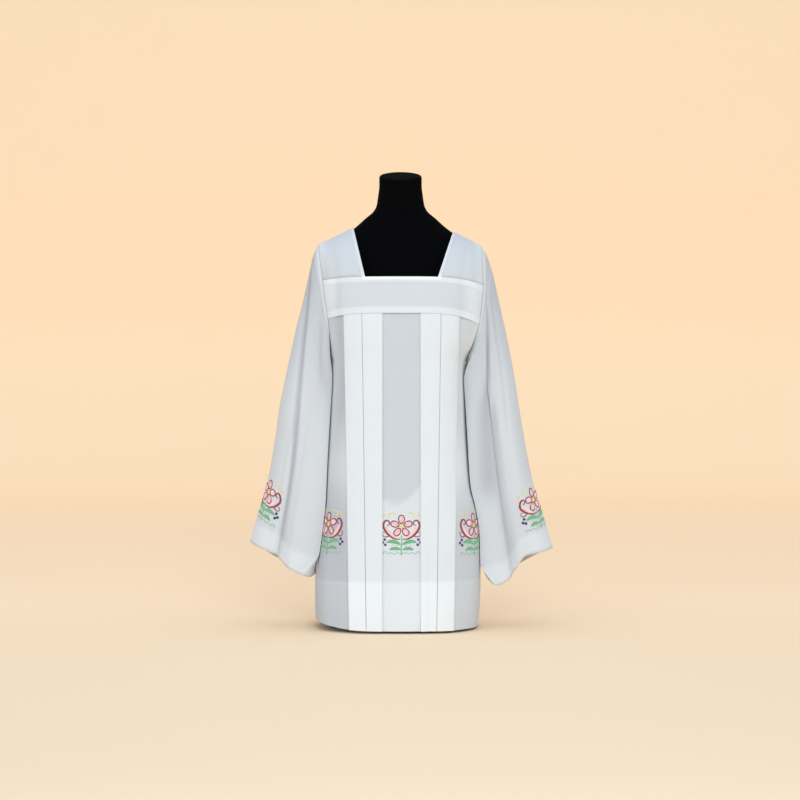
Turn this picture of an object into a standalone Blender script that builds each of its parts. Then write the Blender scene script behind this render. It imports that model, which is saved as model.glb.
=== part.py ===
"""A surplice on a limbless dress form. Metres, +Z up, the front faces -Y, and tables are in millimetres."""

import math
from collections import namedtuple

import bpy
import numpy as np

# Sides and faces
RIGHT = -1
LEFT = 1
FRONT = -1
BACK = 1

# Cloth and seams
CLOTH = 1.1
SEAM = 0.3
BAND_WALL = 1.0
HEM_STRIP_LIFT = 0.8
FULLNESS = 3.0

# Heights of the seams at the middle of the front
HEM = 6.0
UNDERARM = 642.0
YOKE_SEAM = 752.0
FRONT_TOP = 839.0
BACK_TOP = 874.0

# The body by height: half width on each side, depth in front and behind, and how far each side's seams droop
Level = namedtuple("Level", "z right left front back droop_right droop_left")
BODY = [
    Level(6, 205, 186, 150, 150, -12, 0),
    Level(50, 206, 191, 149, 149, -7, 0),
    Level(115, 206, 193, 146, 146, 0, 0),
    Level(153, 200, 193, 143, 143, 0, 0),
    Level(215, 191, 192, 139, 139, 0, 0),
    Level(250, 187, 189, 137, 137, 0, 0),
    Level(295, 182, 181, 134, 134, 0, 0),
    Level(337, 180, 171, 131, 131, 0, 0),
    Level(378, 178.5, 167, 128, 128, 0, 0),
    Level(450, 175, 163, 124, 122, 0, 0),
    Level(540, 170, 158, 120, 116, 0, 0),
    Level(598, 167, 155, 119, 113, 0, 0),
    Level(642, 167, 158, 118, 112, 0, 0),
    Level(685, 168, 172, 119, 112, 6, 11),
    Level(752, 173, 187, 118, 112, 14, 26),
    Level(794, 181, 194, 116, 111, 10, 21),
    Level(839, 186, 198, 111, 108, 6, 15),
    Level(874, 189, 198, 106, 104, 4, 10),
]

# The armhole's oval, seen from the side
ARMHOLE_MIDDLE = 776.0
ARMHOLE_TOP = 923.0
ARMHOLE_DEPTH = {FRONT: 66.0, BACK: 70.0}
ARMHOLE_ROUND = 2.2

# The ridge of each shoulder, from the neck to the top of the armhole
Ridge = namedtuple("Ridge", "neck_x neck_z arm_x arm_z y")
RIDGE = {RIGHT: Ridge(114, 965.2, 199, 924.7, 5), LEFT: Ridge(127.4, 955.9, 196, 921.6, 5)}

# Where the pleats and the neck lie across each face, from a middle line a little to the left
MIDDLE = 2.3
NECK_HALF = 86.0
BAND = 8.0
BoxPleat = namedtuple("BoxPleat", "top_in top_out hem_in hem_out")
PLEATS = [BoxPleat(45, 93, 45, 82), BoxPleat(95.6, 137.4, 84.6, 123.2)]
UNDER_SHARE = 0.42
PITCH_TOP = 1.5
PITCH_HEM = 3.0

# Rows of each panel
SKIRT_ROWS = [6, 50, 115, 160, 215, 262, 300, 337, 378, 450, 540, 598, 642, 648, 665, 689, 720, 752]
YOKE_RISES = [0.0, 16.0, 20.0]
SHOULDER_FRONT_ROWS = 6
SHOULDER_BACK_ROWS = 5
SIDE_SHARES = [0.25, 0.5, 0.75, 1.0]
YOKE_ACROSS = [0, 40, 78, 86, 94, 119, 137.4]

# The sleeves' cuffs, round from the outer corner: the front to share 0.5, then the back
Cuff = namedtuple("Cuff", "share x y z")
CUFFS = {
    RIGHT: [
        Cuff(0.00, -364, 4, 204),
        Cuff(0.07, -345, -30, 195),
        Cuff(0.14, -320, -44, 185),
        Cuff(0.21, -296, -40, 175),
        Cuff(0.26, -284, -34, 157),
        Cuff(0.32, -266, -47, 142),
        Cuff(0.39, -241, -54, 130),
        Cuff(0.46, -216, -34, 123),
        Cuff(0.50, -206, 2, 128),
        Cuff(0.56, -221, 36, 124),
        Cuff(0.66, -264, 56, 142),
        Cuff(0.78, -309, 45, 166),
        Cuff(0.90, -346, 38, 190),
    ],
    LEFT: [
        Cuff(0.00, 369, 4, 190),
        Cuff(0.07, 350, -30, 184),
        Cuff(0.14, 322, -44, 179),
        Cuff(0.21, 298, -40, 171),
        Cuff(0.27, 277, -34, 139),
        Cuff(0.33, 256, -49, 114),
        Cuff(0.40, 231, -56, 104),
        Cuff(0.46, 207, -36, 122),
        Cuff(0.50, 198, 2, 150),
        Cuff(0.56, 209, 36, 136),
        Cuff(0.66, 252, 57, 124),
        Cuff(0.78, 303, 46, 154),
        Cuff(0.90, 351, 37, 180),
    ],
}
BESIDE = 2.1
WRAP = 0.965
SLEEVE_ROWS = [0, 0.03, 0.09, 0.17, 0.27, 0.38, 0.5, 0.62, 0.74, 0.85, 0.93, 1.0]

# How far each sleeve's outer line stands outward of a straight line, down the sleeve
Sag = namedtuple("Sag", "down right left")
SAGS = [
    Sag(0.0, 0, 0),
    Sag(0.04, 7.5, 8),
    Sag(0.1, 6, 11.3),
    Sag(0.2, 5.3, 10.1),
    Sag(0.28, 7, 9.6),
    Sag(0.42, 6, 5.4),
    Sag(0.53, 4.4, -1),
    Sag(0.62, -1, -5.5),
    Sag(0.7, -5.5, -9),
    Sag(0.78, -8.3, -10.8),
    Sag(0.85, -6, -7),
    Sag(0.92, -3, -3.6),
    Sag(1.0, 0, 0),
]

# The soft troughs down each sleeve: the share of the way round at four places down it
Trough = namedtuple("Trough", "side depth width top upper lower cuff")
TROUGHS = [
    Trough(RIGHT, 3.8, 0.03, 0.03, 0.137, 0.217, 0.233),
    Trough(RIGHT, 4.5, 0.05, 0.88, 0.84, 0.80, 0.78),
    Trough(LEFT, 6.0, 0.035, 0.17, 0.315, 0.305, 0.275),
    Trough(LEFT, 4.5, 0.05, 0.86, 0.82, 0.79, 0.78),
]

# The dress form by height: half width, depth in front and behind
Ring = namedtuple("Ring", "z half front back")
FORM = [
    Ring(296, 60, 44, 44),
    Ring(299, 84, 60, 58),
    Ring(308, 116, 80, 78),
    Ring(326, 139, 96, 94),
    Ring(356, 148, 102, 102),
    Ring(416, 150, 106, 107),
    Ring(486, 147, 103, 102),
    Ring(551, 143, 98, 91),
    Ring(626, 146, 102, 91),
    Ring(696, 152, 106, 96),
    Ring(756, 159, 107, 100),
    Ring(816, 168, 100, 99),
    Ring(858, 177, 88, 93),
    Ring(890, 183, 75, 84),
    Ring(908, 182, 67, 76),
    Ring(922, 176, 62, 71),
    Ring(933, 164, 59, 68),
    Ring(943, 145, 57, 66),
    Ring(952, 127, 55, 64),
    Ring(962, 113, 54, 62),
    Ring(973, 100, 53, 61),
    Ring(986, 86, 52, 60),
    Ring(1004, 65, 51, 58),
    Ring(1018, 58, 50, 56),
    Ring(1036, 55, 49, 55),
    Ring(1062, 51.5, 48, 53),
]
FORM_ROUND = 40
NECK_TOP = 1091.0
NECK_SLOPE = 0.33
NECK_EDGE = 3.0

# The stand under the form
POLE_RADIUS = 14.0
BASE_PROFILE = [(130, 0), (130, 5), (125, 9), (60, 11.5), (14, 12)]
STAND_ROUND = 48

# Plain colours of the materials: red, green, blue, roughness
COLOURS = {
    "cloth": (0.84, 0.86, 0.88, 0.85),
    "band": (0.90, 0.91, 0.93, 0.85),
    "form": (0.008, 0.008, 0.009, 0.9),
    "stand": (0.05, 0.05, 0.055, 0.45),
}


def smooth(at, xs, ys):
    """Reads a smooth curve through the points (xs, ys) that never overshoots them."""
    xs = np.asarray(xs, float)
    ys = np.asarray(ys, float)
    at = np.clip(np.asarray(at, float), xs[0], xs[-1])
    width = np.diff(xs)
    slope = np.diff(ys) / width
    tangent = np.zeros(len(xs))
    tangent[0], tangent[-1] = slope[0], slope[-1]
    product = slope[1:] * slope[:-1]
    total = np.where(product > 0, slope[1:] + slope[:-1], 1.0)
    tangent[1:-1] = np.where(product > 0, 2 * product / total, 0.0)
    i = np.clip(np.searchsorted(xs, at, side="right") - 1, 0, len(width) - 1)
    t = (at - xs[i]) / width[i]
    return (
        ys[i] * (1 + 2 * t) * (1 - t) ** 2
        + tangent[i] * width[i] * t * (1 - t) ** 2
        + ys[i + 1] * t * t * (3 - 2 * t)
        + tangent[i + 1] * width[i] * t * t * (t - 1)
    )


def body(z, column):
    """A column of the body's table at any height."""
    return float(smooth(z, [row.z for row in BODY], [getattr(row, column) for row in BODY]))


def armhole_depth(face, z):
    """How far in front of or behind the shoulder line the armhole's edge lies."""
    half = ARMHOLE_TOP - ARMHOLE_MIDDLE if z > ARMHOLE_MIDDLE else ARMHOLE_MIDDLE - UNDERARM
    share = min(1.0, abs(z - ARMHOLE_MIDDLE) / half)
    if z < UNDERARM:
        return 0.0
    return ARMHOLE_DEPTH[face] * (1 - share**ARMHOLE_ROUND) ** (1 / ARMHOLE_ROUND)


def outline(face, z):
    """The body's line across one face at one height: lengths from x = 0, points and outward normals."""
    depth = body(z, "front" if face == FRONT else "back")
    edge = armhole_depth(face, z)
    halves = []
    for side in (RIGHT, LEFT):
        reach = body(z, "left" if side == LEFT else "right")
        full = reach / (1 - (edge / depth) ** FULLNESS) ** (1 / FULLNESS)
        turn = np.linspace(0, math.atan2(reach, edge), 80)
        radius = ((np.sin(turn) / full) ** FULLNESS + (np.cos(turn) / depth) ** FULLNESS) ** (-1 / FULLNESS)
        halves.append(np.c_[side * radius * np.sin(turn), face * radius * np.cos(turn)])
    points = np.concatenate([halves[0][::-1], halves[1][1:]])
    length = np.r_[0, np.cumsum(np.linalg.norm(np.diff(points, axis=0), axis=1))]
    length -= length[79]
    tangent = np.gradient(points, length, axis=0)
    tangent /= np.linalg.norm(tangent, axis=1)[:, None]
    normal = face * np.c_[-tangent[:, 1], tangent[:, 0]]
    return length, points, normal


def droop(face, z, x):
    """How far a seam at this height hangs lower at x than at the middle."""
    column = "droop_left" if x > MIDDLE else "droop_right"
    share = 0.5 if face == BACK and z > UNDERARM else 1.0
    return share * body(z, column) * (abs(x - MIDDLE) / 185) ** 4


def on_body(face, z, line, length, height):
    """A point of the body at a length along its line, moved out by a height."""
    s, points, normal = line
    x = np.interp(length, s, points[:, 0]) + height * np.interp(length, s, normal[:, 0])
    y = np.interp(length, s, points[:, 1]) + height * np.interp(length, s, normal[:, 1])
    return np.array([x, y, z - droop(face, z, x)])


def offset(path, distance):
    """A path moved sideways with square corners, as (length, height) pairs."""
    path = np.array(path)
    step = np.diff(path, axis=0)
    step /= np.linalg.norm(step, axis=1)[:, None]
    across = np.c_[-step[:, 1], step[:, 0]]
    before = np.concatenate([across[:1], across])
    after = np.concatenate([across, across[-1:]])
    dot = (before * after).sum(axis=1)
    return path + distance * (before + after) / (1 + dot)[:, None]


def body_side(side, y, z):
    """How far out the body reaches at a depth and height."""
    reach = body(z, "left" if side == LEFT else "right")
    depth = body(z, "front" if y < 0 else "back")
    return reach * (1 - min(1.0, abs(y) / depth) ** FULLNESS) ** (1 / FULLNESS)


def ends_of(face, z, line):
    """The lengths at which a panel stops, just short of a side seam."""
    trim = SEAM / 2 if z <= UNDERARM else 0.0
    return {RIGHT: line[0][0] + trim, LEFT: line[0][-1] - trim}


def pleated_path(face, z, line):
    """The folds across one skirt at one height, from right to left, as (length, height) pairs."""
    down = (YOKE_SEAM - z) / (YOKE_SEAM - HEM)
    pitch = PITCH_TOP + (PITCH_HEM - PITCH_TOP) * down
    ends = ends_of(face, z, line)
    edges = []
    for pleat in PLEATS:
        first = pleat.top_in + (pleat.hem_in - pleat.top_in) * down
        last = pleat.top_out + (pleat.hem_out - pleat.top_out) * down
        under = UNDER_SHARE * (last - first)
        edges.append((first, first + under, last - under, last))
    (a, b, c, d), (e, f, g, h) = edges
    low, mid, high = -2 * pitch, -pitch, 0.0
    folds = [(a / 2, low), (a, low), (b, low), (b, mid), (a, mid), (a, high), (b, high), (c, high)]
    folds += [(d, high), (d, mid), (c, mid), (c, low), (d, low), (e, low), (f, low), (f, mid)]
    folds += [(e, mid), (e, high), (f, high), (g, high), (h, high), (h, mid), (g, mid), (g, low), (h, low)]
    halves = {}
    for side in (RIGHT, LEFT):
        half = [(float(np.interp(MIDDLE + side * x, line[1][:, 0], line[0])), height) for x, height in folds]
        last = half[-1][0]
        for share in SIDE_SHARES:
            ease = 1 - share * share * (3 - 2 * share)
            half.append((last + (ends[side] - last) * share, low * ease))
        halves[side] = half
    middle = float(np.interp(MIDDLE, line[1][:, 0], line[0]))
    return halves[RIGHT][::-1] + [(middle, low)] + halves[LEFT]


def skirt(face):
    """The pleated panel's outer, inner and middle points, row by row."""
    layers = []
    for distance in (CLOTH / 2, -CLOTH / 2, 0.0):
        rows = []
        for z in SKIRT_ROWS:
            line = outline(face, z)
            lower = SEAM if z == YOKE_SEAM else 0.0
            path = offset(pleated_path(face, z, line), distance)
            rows.append([on_body(face, z, line, s, h) - [0, 0, lower] for s, h in path])
        layers.append(np.array(rows))
    return layers


def across(face, z, line, keys):
    """The lengths of a plain panel's points across, from right to left."""
    ends = ends_of(face, z, line)
    halves = {}
    for side in (RIGHT, LEFT):
        half = [float(np.interp(MIDDLE + side * key, line[1][:, 0], line[0])) for key in keys]
        last = half[-1]
        halves[side] = half + [last + (ends[side] - last) * share for share in SIDE_SHARES]
    return halves[RIGHT][::-1] + halves[LEFT][1:]


def yoke(face):
    """The plain band's outer, inner and middle points, row by row, with its lower edge raised."""
    top = FRONT_TOP if face == FRONT else BACK_TOP
    heights = [YOKE_SEAM + rise for rise in YOKE_RISES] + [top - BAND, top]
    layers = []
    for distance in (CLOTH / 2, -CLOTH / 2, 0.0):
        rows = []
        for i, z in enumerate(heights):
            line = outline(face, z)
            nudge = SEAM / 2 if i == 0 else -SEAM / 2 if z == top else 0.0
            lift = HEM_STRIP_LIFT if distance > 0 and i < 2 else 0.0
            lengths = across(face, z, line, YOKE_ACROSS)
            rows.append([on_body(face, z, line, s, distance + lift) + [0, 0, nudge] for s in lengths])
        layers.append(np.array(rows))
    return layers


def bezier(points, t):
    a, b, c, d = points
    return a * (1 - t) ** 3 + 3 * b * t * (1 - t) ** 2 + 3 * c * t * t * (1 - t) + d * t**3


def normals_of(grid, round_it=False):
    """A unit normal at each point of a grid, from its neighbours."""
    if round_it:
        along = np.roll(grid, -1, axis=1) - np.roll(grid, 1, axis=1)
    else:
        along = np.gradient(grid, axis=1)
    normal = np.cross(along, np.gradient(grid, axis=0))
    return normal / np.linalg.norm(normal, axis=2)[:, :, None]


def shoulder(side):
    """The strap over one shoulder: outer, inner and middle points, from the front seam to the back seam."""
    starts, finishes = [], []
    for face, top, found in ((FRONT, FRONT_TOP, starts), (BACK, BACK_TOP, finishes)):
        line = outline(face, top)
        lower = outline(face, top - 10)
        keys = [key for key in YOKE_ACROSS if key >= NECK_HALF]
        count = len(keys) + len(SIDE_SHARES)
        lengths = across(face, top, line, YOKE_ACROSS)
        below = across(face, top - 10, lower, YOKE_ACROSS)
        pick = slice(0, count) if side == RIGHT else slice(len(lengths) - count, None)
        for s, under in zip(lengths[pick], below[pick]):
            point = on_body(face, top, line, s, 0.0)
            rise = point - on_body(face, top - 10, lower, under, 0.0)
            found.append((point + [0, 0, SEAM], rise / rise[2]))
    if side == RIGHT:
        starts, finishes = starts[::-1], finishes[::-1]
    ridge = RIDGE[side]
    first, last = starts[0][0][0], starts[-1][0][0]
    columns = []
    for (start, rise), (finish, fall) in zip(starts, finishes):
        share = (start[0] - first) / (last - first)
        x = side * (ridge.neck_x + (ridge.arm_x - ridge.neck_x) * share)
        crest = np.array([x, ridge.y, ridge.neck_z + (ridge.arm_z - ridge.neck_z) * share - CLOTH / 2])
        column = []
        for foot, slope, rows in ((start, rise, SHOULDER_FRONT_ROWS), (finish, fall, SHOULDER_BACK_ROWS)):
            climb = crest[2] - foot[2]
            lean = (0.5 - 0.12 * (1 - share)) * climb
            over = 0.55 * (crest[1] - foot[1])
            over_x = (x - foot[0]) * lean / climb
            second = foot + [over_x, slope[1] * lean, lean]
            third = crest - [0, over, 0]
            arch = [bezier((foot, second, third, crest), t) for t in np.linspace(0, 1, rows + 1)]
            column += arch if not column else arch[-2::-1]
        columns.append(column)
    middle = np.array(columns).transpose(1, 0, 2)
    if side == RIGHT:
        middle = middle[:, ::-1]
    normal = normals_of(middle)
    return middle + normal * CLOTH / 2, middle - normal * CLOTH / 2, middle


def armhole(side, panels):
    """The armhole's edge from the ridge round the front to the underarm and back up: points and directions."""
    at = 0 if side == RIGHT else -1
    first = SKIRT_ROWS.index(UNDERARM)
    strap = panels["shoulder", side]
    peak = SHOULDER_FRONT_ROWS
    front = [("shoulder", side, row) for row in range(peak, -1, -1)]
    front += [("yoke", FRONT, row) for row in range(len(YOKE_RISES) + 1, -1, -1)]
    front += [("skirt", FRONT, row) for row in range(len(SKIRT_ROWS) - 1, first - 1, -1)]
    back = [("skirt", BACK, row) for row in range(first, len(SKIRT_ROWS))]
    back += [("yoke", BACK, row) for row in range(len(YOKE_RISES) + 2)]
    back += [("shoulder", side, row) for row in range(len(strap[2]) - 1, peak, -1)]
    raw = []
    for kind, which, row in front + back:
        outer, inner, middle = panels[kind, which]
        thin = outer[row, at] - inner[row, at]
        raw.append((middle[row, at], thin / np.linalg.norm(thin)))
    merged = []
    for point, normal in raw:
        if merged and np.linalg.norm(merged[-1][0] - point) < 4 * SEAM:
            merged[-1] = ((merged[-1][0] + point) / 2, merged[-1][1] + normal)
        else:
            merged.append((point, normal))
    points = np.array([m[0] for m in merged])
    normals = np.array([m[1] for m in merged])
    normals /= np.linalg.norm(normals, axis=1)[:, None]
    edge = np.roll(points, -1, axis=0) - np.roll(points, 1, axis=0)
    edge /= np.linalg.norm(edge, axis=1)[:, None]
    off = np.cross(edge, normals)
    inward = points.mean(axis=0) - points
    off *= np.sign((off * inward).sum(axis=1))[:, None]
    off /= np.linalg.norm(off, axis=1)[:, None]
    return points, normals, off, edge


def shares_round(points):
    """How far round the armhole each point is: 0 at the ridge, 0.5 at the underarm."""
    step = np.linalg.norm(np.roll(points, -1, axis=0) - points, axis=1)
    along = np.r_[0, np.cumsum(step)]
    lowest = int(points[:, 2].argmin())
    front = 0.5 * along[: lowest + 1] / along[lowest]
    back = 0.5 + 0.5 * (along[lowest + 1 : -1] - along[lowest]) / (along[-1] - along[lowest])
    return np.r_[front, back]


def cuff_points(side, shares):
    rows = CUFFS[side]
    marks = np.array([row.share for row in rows] + [1.0])
    found = []
    for column in ("x", "y", "z"):
        values = np.array([getattr(row, column) for row in rows] + [getattr(rows[0], column)])
        wrapped = np.r_[marks[-3:-1] - 1, marks, marks[1:3] + 1]
        around = np.r_[values[-3:-1], values, values[1:3]]
        found.append(smooth(shares, wrapped, around))
    return np.stack(found, axis=1)


def sleeve(side, panels):
    """The sleeve's outer, inner and middle points: rows from the armhole to the cuff, closed round."""
    edge, normals, off, run = armhole(side, panels)
    shares = shares_round(edge)
    cuff = cuff_points(side, shares)
    lean = cuff - edge
    lean -= (lean * run).sum(axis=1)[:, None] * run
    lean /= np.linalg.norm(lean, axis=1)[:, None]
    folded = np.clip(-(lean * off).sum(axis=1), 0, 1)[:, None]
    tilt = 1 - np.abs((lean * off).sum(axis=1))[:, None]
    mouth = edge + off * (1.9 * SEAM + 0.6 * CLOTH * tilt) + normals * (CLOTH + 0.5) * folded
    near_outer = np.clip(np.cos(2 * np.pi * shares), 0, 1)
    beside_body = smooth(shares, [0, 0.3, 0.39, 0.61, 0.72, 1], [0, 0, 1, 1, 0, 0])
    column = "left" if side == LEFT else "right"
    downs = [row.down for row in SAGS]
    rows = []
    for down in SLEEVE_ROWS:
        point = mouth + (cuff - mouth) * down
        point[:, 0] += side * near_outer * smooth(down, downs, [getattr(row, column) for row in SAGS])
        beside = [max(body_side(side, y, z), WRAP * body(z, column)) + BESIDE for _, y, z in point]
        along = beside_body * smooth(down, [0, 0.16, 0.9, 1], [0, 1, 1, 0])
        point[:, 0] += along * (side * np.array(beside) - point[:, 0])
        rows.append(point)
    grid = np.array(rows)
    normal = normals_of(grid, round_it=True)
    if (normal[-1, :, 0] * (grid[-1, :, 0] - grid[-1, :, 0].mean())).sum() < 0:
        normal = -normal
    for trough in [t for t in TROUGHS if t.side == side]:
        for i, down in enumerate(SLEEVE_ROWS):
            centre = smooth(down, [0, 0.35, 0.7, 1], [trough.top, trough.upper, trough.lower, trough.cuff])
            reach = (shares - centre) / trough.width
            grid[i] -= normal[i] * (trough.depth * min(1, down * 6) * np.exp(-reach**2))[:, None]
    for i, down in enumerate(SLEEVE_ROWS):
        beside = np.array([body_side(side, y, z) for _, y, z in grid[i]]) + BESIDE
        inside = np.maximum(beside - side * grid[i, :, 0], 0) * min(1, down * 9)
        grid[i, :, 0] += side * inside
    return grid + normal * CLOTH / 2, grid - normal * CLOTH / 2, grid


def neck_band(panels):
    """The band round the neck, laid on the panels: two points across at each station."""
    last = len(YOKE_RISES) + 1
    wide = YOKE_ACROSS.index(NECK_HALF)
    middle = len(YOKE_ACROSS) + len(SIDE_SHARES) - 1
    stations = []

    def panel_points(kind, which, places):
        outer, inner, _ = panels[kind, which]
        normal = outer - inner
        normal = normal / np.linalg.norm(normal, axis=2)[:, :, None]
        for edge, below in places:
            stations.append([(outer[e], normal[e]) for e in (edge, below)])

    def yoke_places(steps):
        places = []
        for k in steps:
            outward = int(np.sign(k)) if abs(k) == wide else 0
            places.append(((last, middle + k), (last - 1, middle + k + outward)))
        return places

    panel_points("yoke", FRONT, yoke_places(range(-wide, wide + 1)))
    rows = len(panels["shoulder", LEFT][2])
    panel_points("shoulder", LEFT, [((row, 0), (row, 1)) for row in range(rows)])
    panel_points("yoke", BACK, yoke_places(range(wide, -wide - 1, -1)))
    panel_points("shoulder", RIGHT, [((row, -1), (row, -2)) for row in range(rows - 1, -1, -1)])
    grid = np.array([[point + normal * SEAM for point, normal in station] for station in stations])
    normal = np.array([[normal for _, normal in station] for station in stations])
    grid = grid.transpose(1, 0, 2)
    normal = normal.transpose(1, 0, 2)
    return grid + normal * BAND_WALL, grid


def make_object(name, points, faces, colour, rounded=True):
    """One closed mesh object, facing out, with its own material."""
    points = np.asarray(points, float) / 1000
    a, b, c = (points[[face[i] for face in faces]] for i in (0, 1, 2))
    volume = (np.cross(a, b) * c).sum()
    for face in faces:
        for i in range(3, len(face)):
            volume += np.cross(points[face[0]], points[face[i - 1]]) @ points[face[i]]
    if volume < 0:
        faces = [tuple(reversed(face)) for face in faces]
    mesh = bpy.data.meshes.new(name)
    mesh.from_pydata(points.tolist(), [], faces)
    mesh.update()
    if rounded:
        mesh.shade_smooth()
    material = bpy.data.materials.new(name)
    material.use_nodes = True
    shader = material.node_tree.nodes["Principled BSDF"]
    shader.inputs["Base Color"].default_value = (*COLOURS[colour][:3], 1)
    shader.inputs["Roughness"].default_value = COLOURS[colour][3]
    mesh.materials.append(material)
    item = bpy.data.objects.new(name, mesh)
    bpy.context.scene.collection.objects.link(item)
    return item


def make_wall(name, outer, inner, colour, closed_rows=False):
    """A wall between two grids of points, with its borders closed."""
    rows, columns = outer.shape[:2]
    points = np.concatenate([outer.reshape(-1, 3), inner.reshape(-1, 3)])
    n = rows * columns
    last = columns if closed_rows else columns - 1
    faces = []
    for i in range(rows - 1):
        for j in range(last):
            k = (j + 1) % columns
            a, b, c, d = i * columns + j, i * columns + k, (i + 1) * columns + k, (i + 1) * columns + j
            faces.append((a, b, c, d))
            faces.append((n + d, n + c, n + b, n + a))
    for j in range(last):
        k = (j + 1) % columns
        top = (rows - 1) * columns
        faces.append((k, j, n + j, n + k))
        faces.append((top + j, top + k, n + top + k, n + top + j))
    if not closed_rows:
        for i in range(rows - 1):
            a, d = i * columns, (i + 1) * columns
            faces.append((a, d, n + d, n + a))
            b, c = a + columns - 1, d + columns - 1
            faces.append((c, b, n + b, n + c))
    return make_object(name, points, faces, colour)


def make_rings(name, rings, colour, rounded=True):
    """A closed body through rings of points, its ends closed to their middles."""
    count = len(rings[0])
    points = [point for ring in rings for point in ring]
    faces = []
    for i in range(len(rings) - 1):
        for j in range(count):
            k = (j + 1) % count
            faces.append((i * count + j, i * count + k, (i + 1) * count + k, (i + 1) * count + j))
    for start, turn in ((0, -1), ((len(rings) - 1) * count, 1)):
        points.append(np.mean(rings[start // count], axis=0))
        centre = len(points) - 1
        for j in range(count):
            pair = (start + j, start + (j + 1) % count)
            faces.append((centre, *pair[::turn]))
    return make_object(name, points, faces, colour, rounded)


def form_rings():
    """The form's rings up to the slanted top of its neck."""
    turn = np.linspace(0, 2 * np.pi, FORM_ROUND, endpoint=False)
    across_x, along_y = np.sin(turn), -np.cos(turn)
    rings = []
    for ring in FORM:
        depth = np.where(along_y < 0, ring.front, ring.back)
        rings.append(np.c_[ring.half * across_x, depth * along_y, np.full(FORM_ROUND, ring.z)])
    last = FORM[-1]
    for inset, drop in ((0, NECK_EDGE), (NECK_EDGE, 0)):
        size = (last.half - inset) / last.half
        depth = np.where(along_y < 0, last.front, last.back)
        x, y = last.half * size * across_x, depth * size * along_y
        rings.append(np.c_[x, y, NECK_TOP - drop + NECK_SLOPE * (y - 3)])
    return rings


def turned_rings(profile):
    turn = np.linspace(0, 2 * np.pi, STAND_ROUND, endpoint=False)
    return [np.c_[r * np.cos(turn), r * np.sin(turn), np.full(STAND_ROUND, z)] for r, z in profile]


def build():
    for item in list(bpy.data.objects):
        bpy.data.objects.remove(item)
    panels = {("yoke", face): yoke(face) for face in (FRONT, BACK)}
    panels.update({("skirt", face): skirt(face) for face in (FRONT, BACK)})
    panels.update({("shoulder", side): shoulder(side) for side in (RIGHT, LEFT)})
    names = {
        "front_yoke": ("yoke", FRONT),
        "back_yoke": ("yoke", BACK),
        "front_skirt": ("skirt", FRONT),
        "back_skirt": ("skirt", BACK),
        "shoulder_right": ("shoulder", RIGHT),
        "shoulder_left": ("shoulder", LEFT),
    }
    for name, key in names.items():
        make_wall(name, panels[key][0], panels[key][1], "cloth")
    for name, side in (("sleeve_right", RIGHT), ("sleeve_left", LEFT)):
        outer, inner, _ = sleeve(side, panels)
        make_wall(name, outer, inner, "cloth", closed_rows=True)
    outer, inner = neck_band(panels)
    make_wall("neck_band", outer, inner, "band", closed_rows=True)
    make_rings("dress_form", form_rings(), "form")
    make_rings("stand_base", turned_rings(BASE_PROFILE), "stand", rounded=False)
    bottom, top = BASE_PROFILE[-1][1] + SEAM, FORM[0].z - SEAM
    make_rings("stand_pole", turned_rings([(POLE_RADIUS, bottom), (POLE_RADIUS, top)]), "stand", rounded=False)


build()
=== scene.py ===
"""The looks of a surplice on a limbless dress form: cloth, seams, embroidery, form and studio."""

import math
from collections import namedtuple

import bpy
import numpy as np
from bpy.props import FloatProperty, FloatVectorProperty, PointerProperty
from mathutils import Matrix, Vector


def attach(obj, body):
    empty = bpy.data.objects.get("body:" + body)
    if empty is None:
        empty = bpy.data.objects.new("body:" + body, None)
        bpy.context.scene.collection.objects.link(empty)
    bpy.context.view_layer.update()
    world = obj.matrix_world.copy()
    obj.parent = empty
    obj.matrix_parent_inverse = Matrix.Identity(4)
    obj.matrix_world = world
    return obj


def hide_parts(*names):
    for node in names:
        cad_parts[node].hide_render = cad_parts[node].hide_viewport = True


bl_info = {
    "name": "Surplice on a dress form",
    "version": (1, 0, 0),
    "blender": (4, 5, 0),
    "location": "3D View > Sidebar > Surplice",
    "description": "Builds the cloth, seams, embroidery, dress form and studio of a surplice",
    "category": "Object",
}

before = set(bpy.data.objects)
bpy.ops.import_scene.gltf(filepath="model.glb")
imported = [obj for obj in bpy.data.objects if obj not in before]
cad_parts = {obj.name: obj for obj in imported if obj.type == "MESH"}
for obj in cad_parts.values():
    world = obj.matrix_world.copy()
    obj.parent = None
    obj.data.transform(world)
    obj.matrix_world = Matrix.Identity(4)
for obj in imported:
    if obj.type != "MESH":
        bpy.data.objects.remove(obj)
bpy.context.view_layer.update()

RIGHT = -1
LEFT = 1
FRONT = -1
BACK = 1

# The drawn seams in millimetres, all but closed
SEAM = 0.06

# The garment's sizes in millimetres
FULLNESS = 3.0
HEM = 6.0
UNDERARM = 642.0
YOKE_SEAM = 752.0
FRONT_TOP = 839.0
BACK_TOP = 874.0
MIDDLE = 2.3
NECK_HALF = 86.0
BAND = 8.0
PITCH_TOP = 1.5
PITCH_HEM = 3.0
UNDER_SHARE = 0.42
ARMHOLE_MIDDLE = 776.0
ARMHOLE_TOP = 923.0
ARMHOLE_DEPTH = {FRONT: 66.0, BACK: 70.0}
ARMHOLE_ROUND = 2.2

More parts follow.
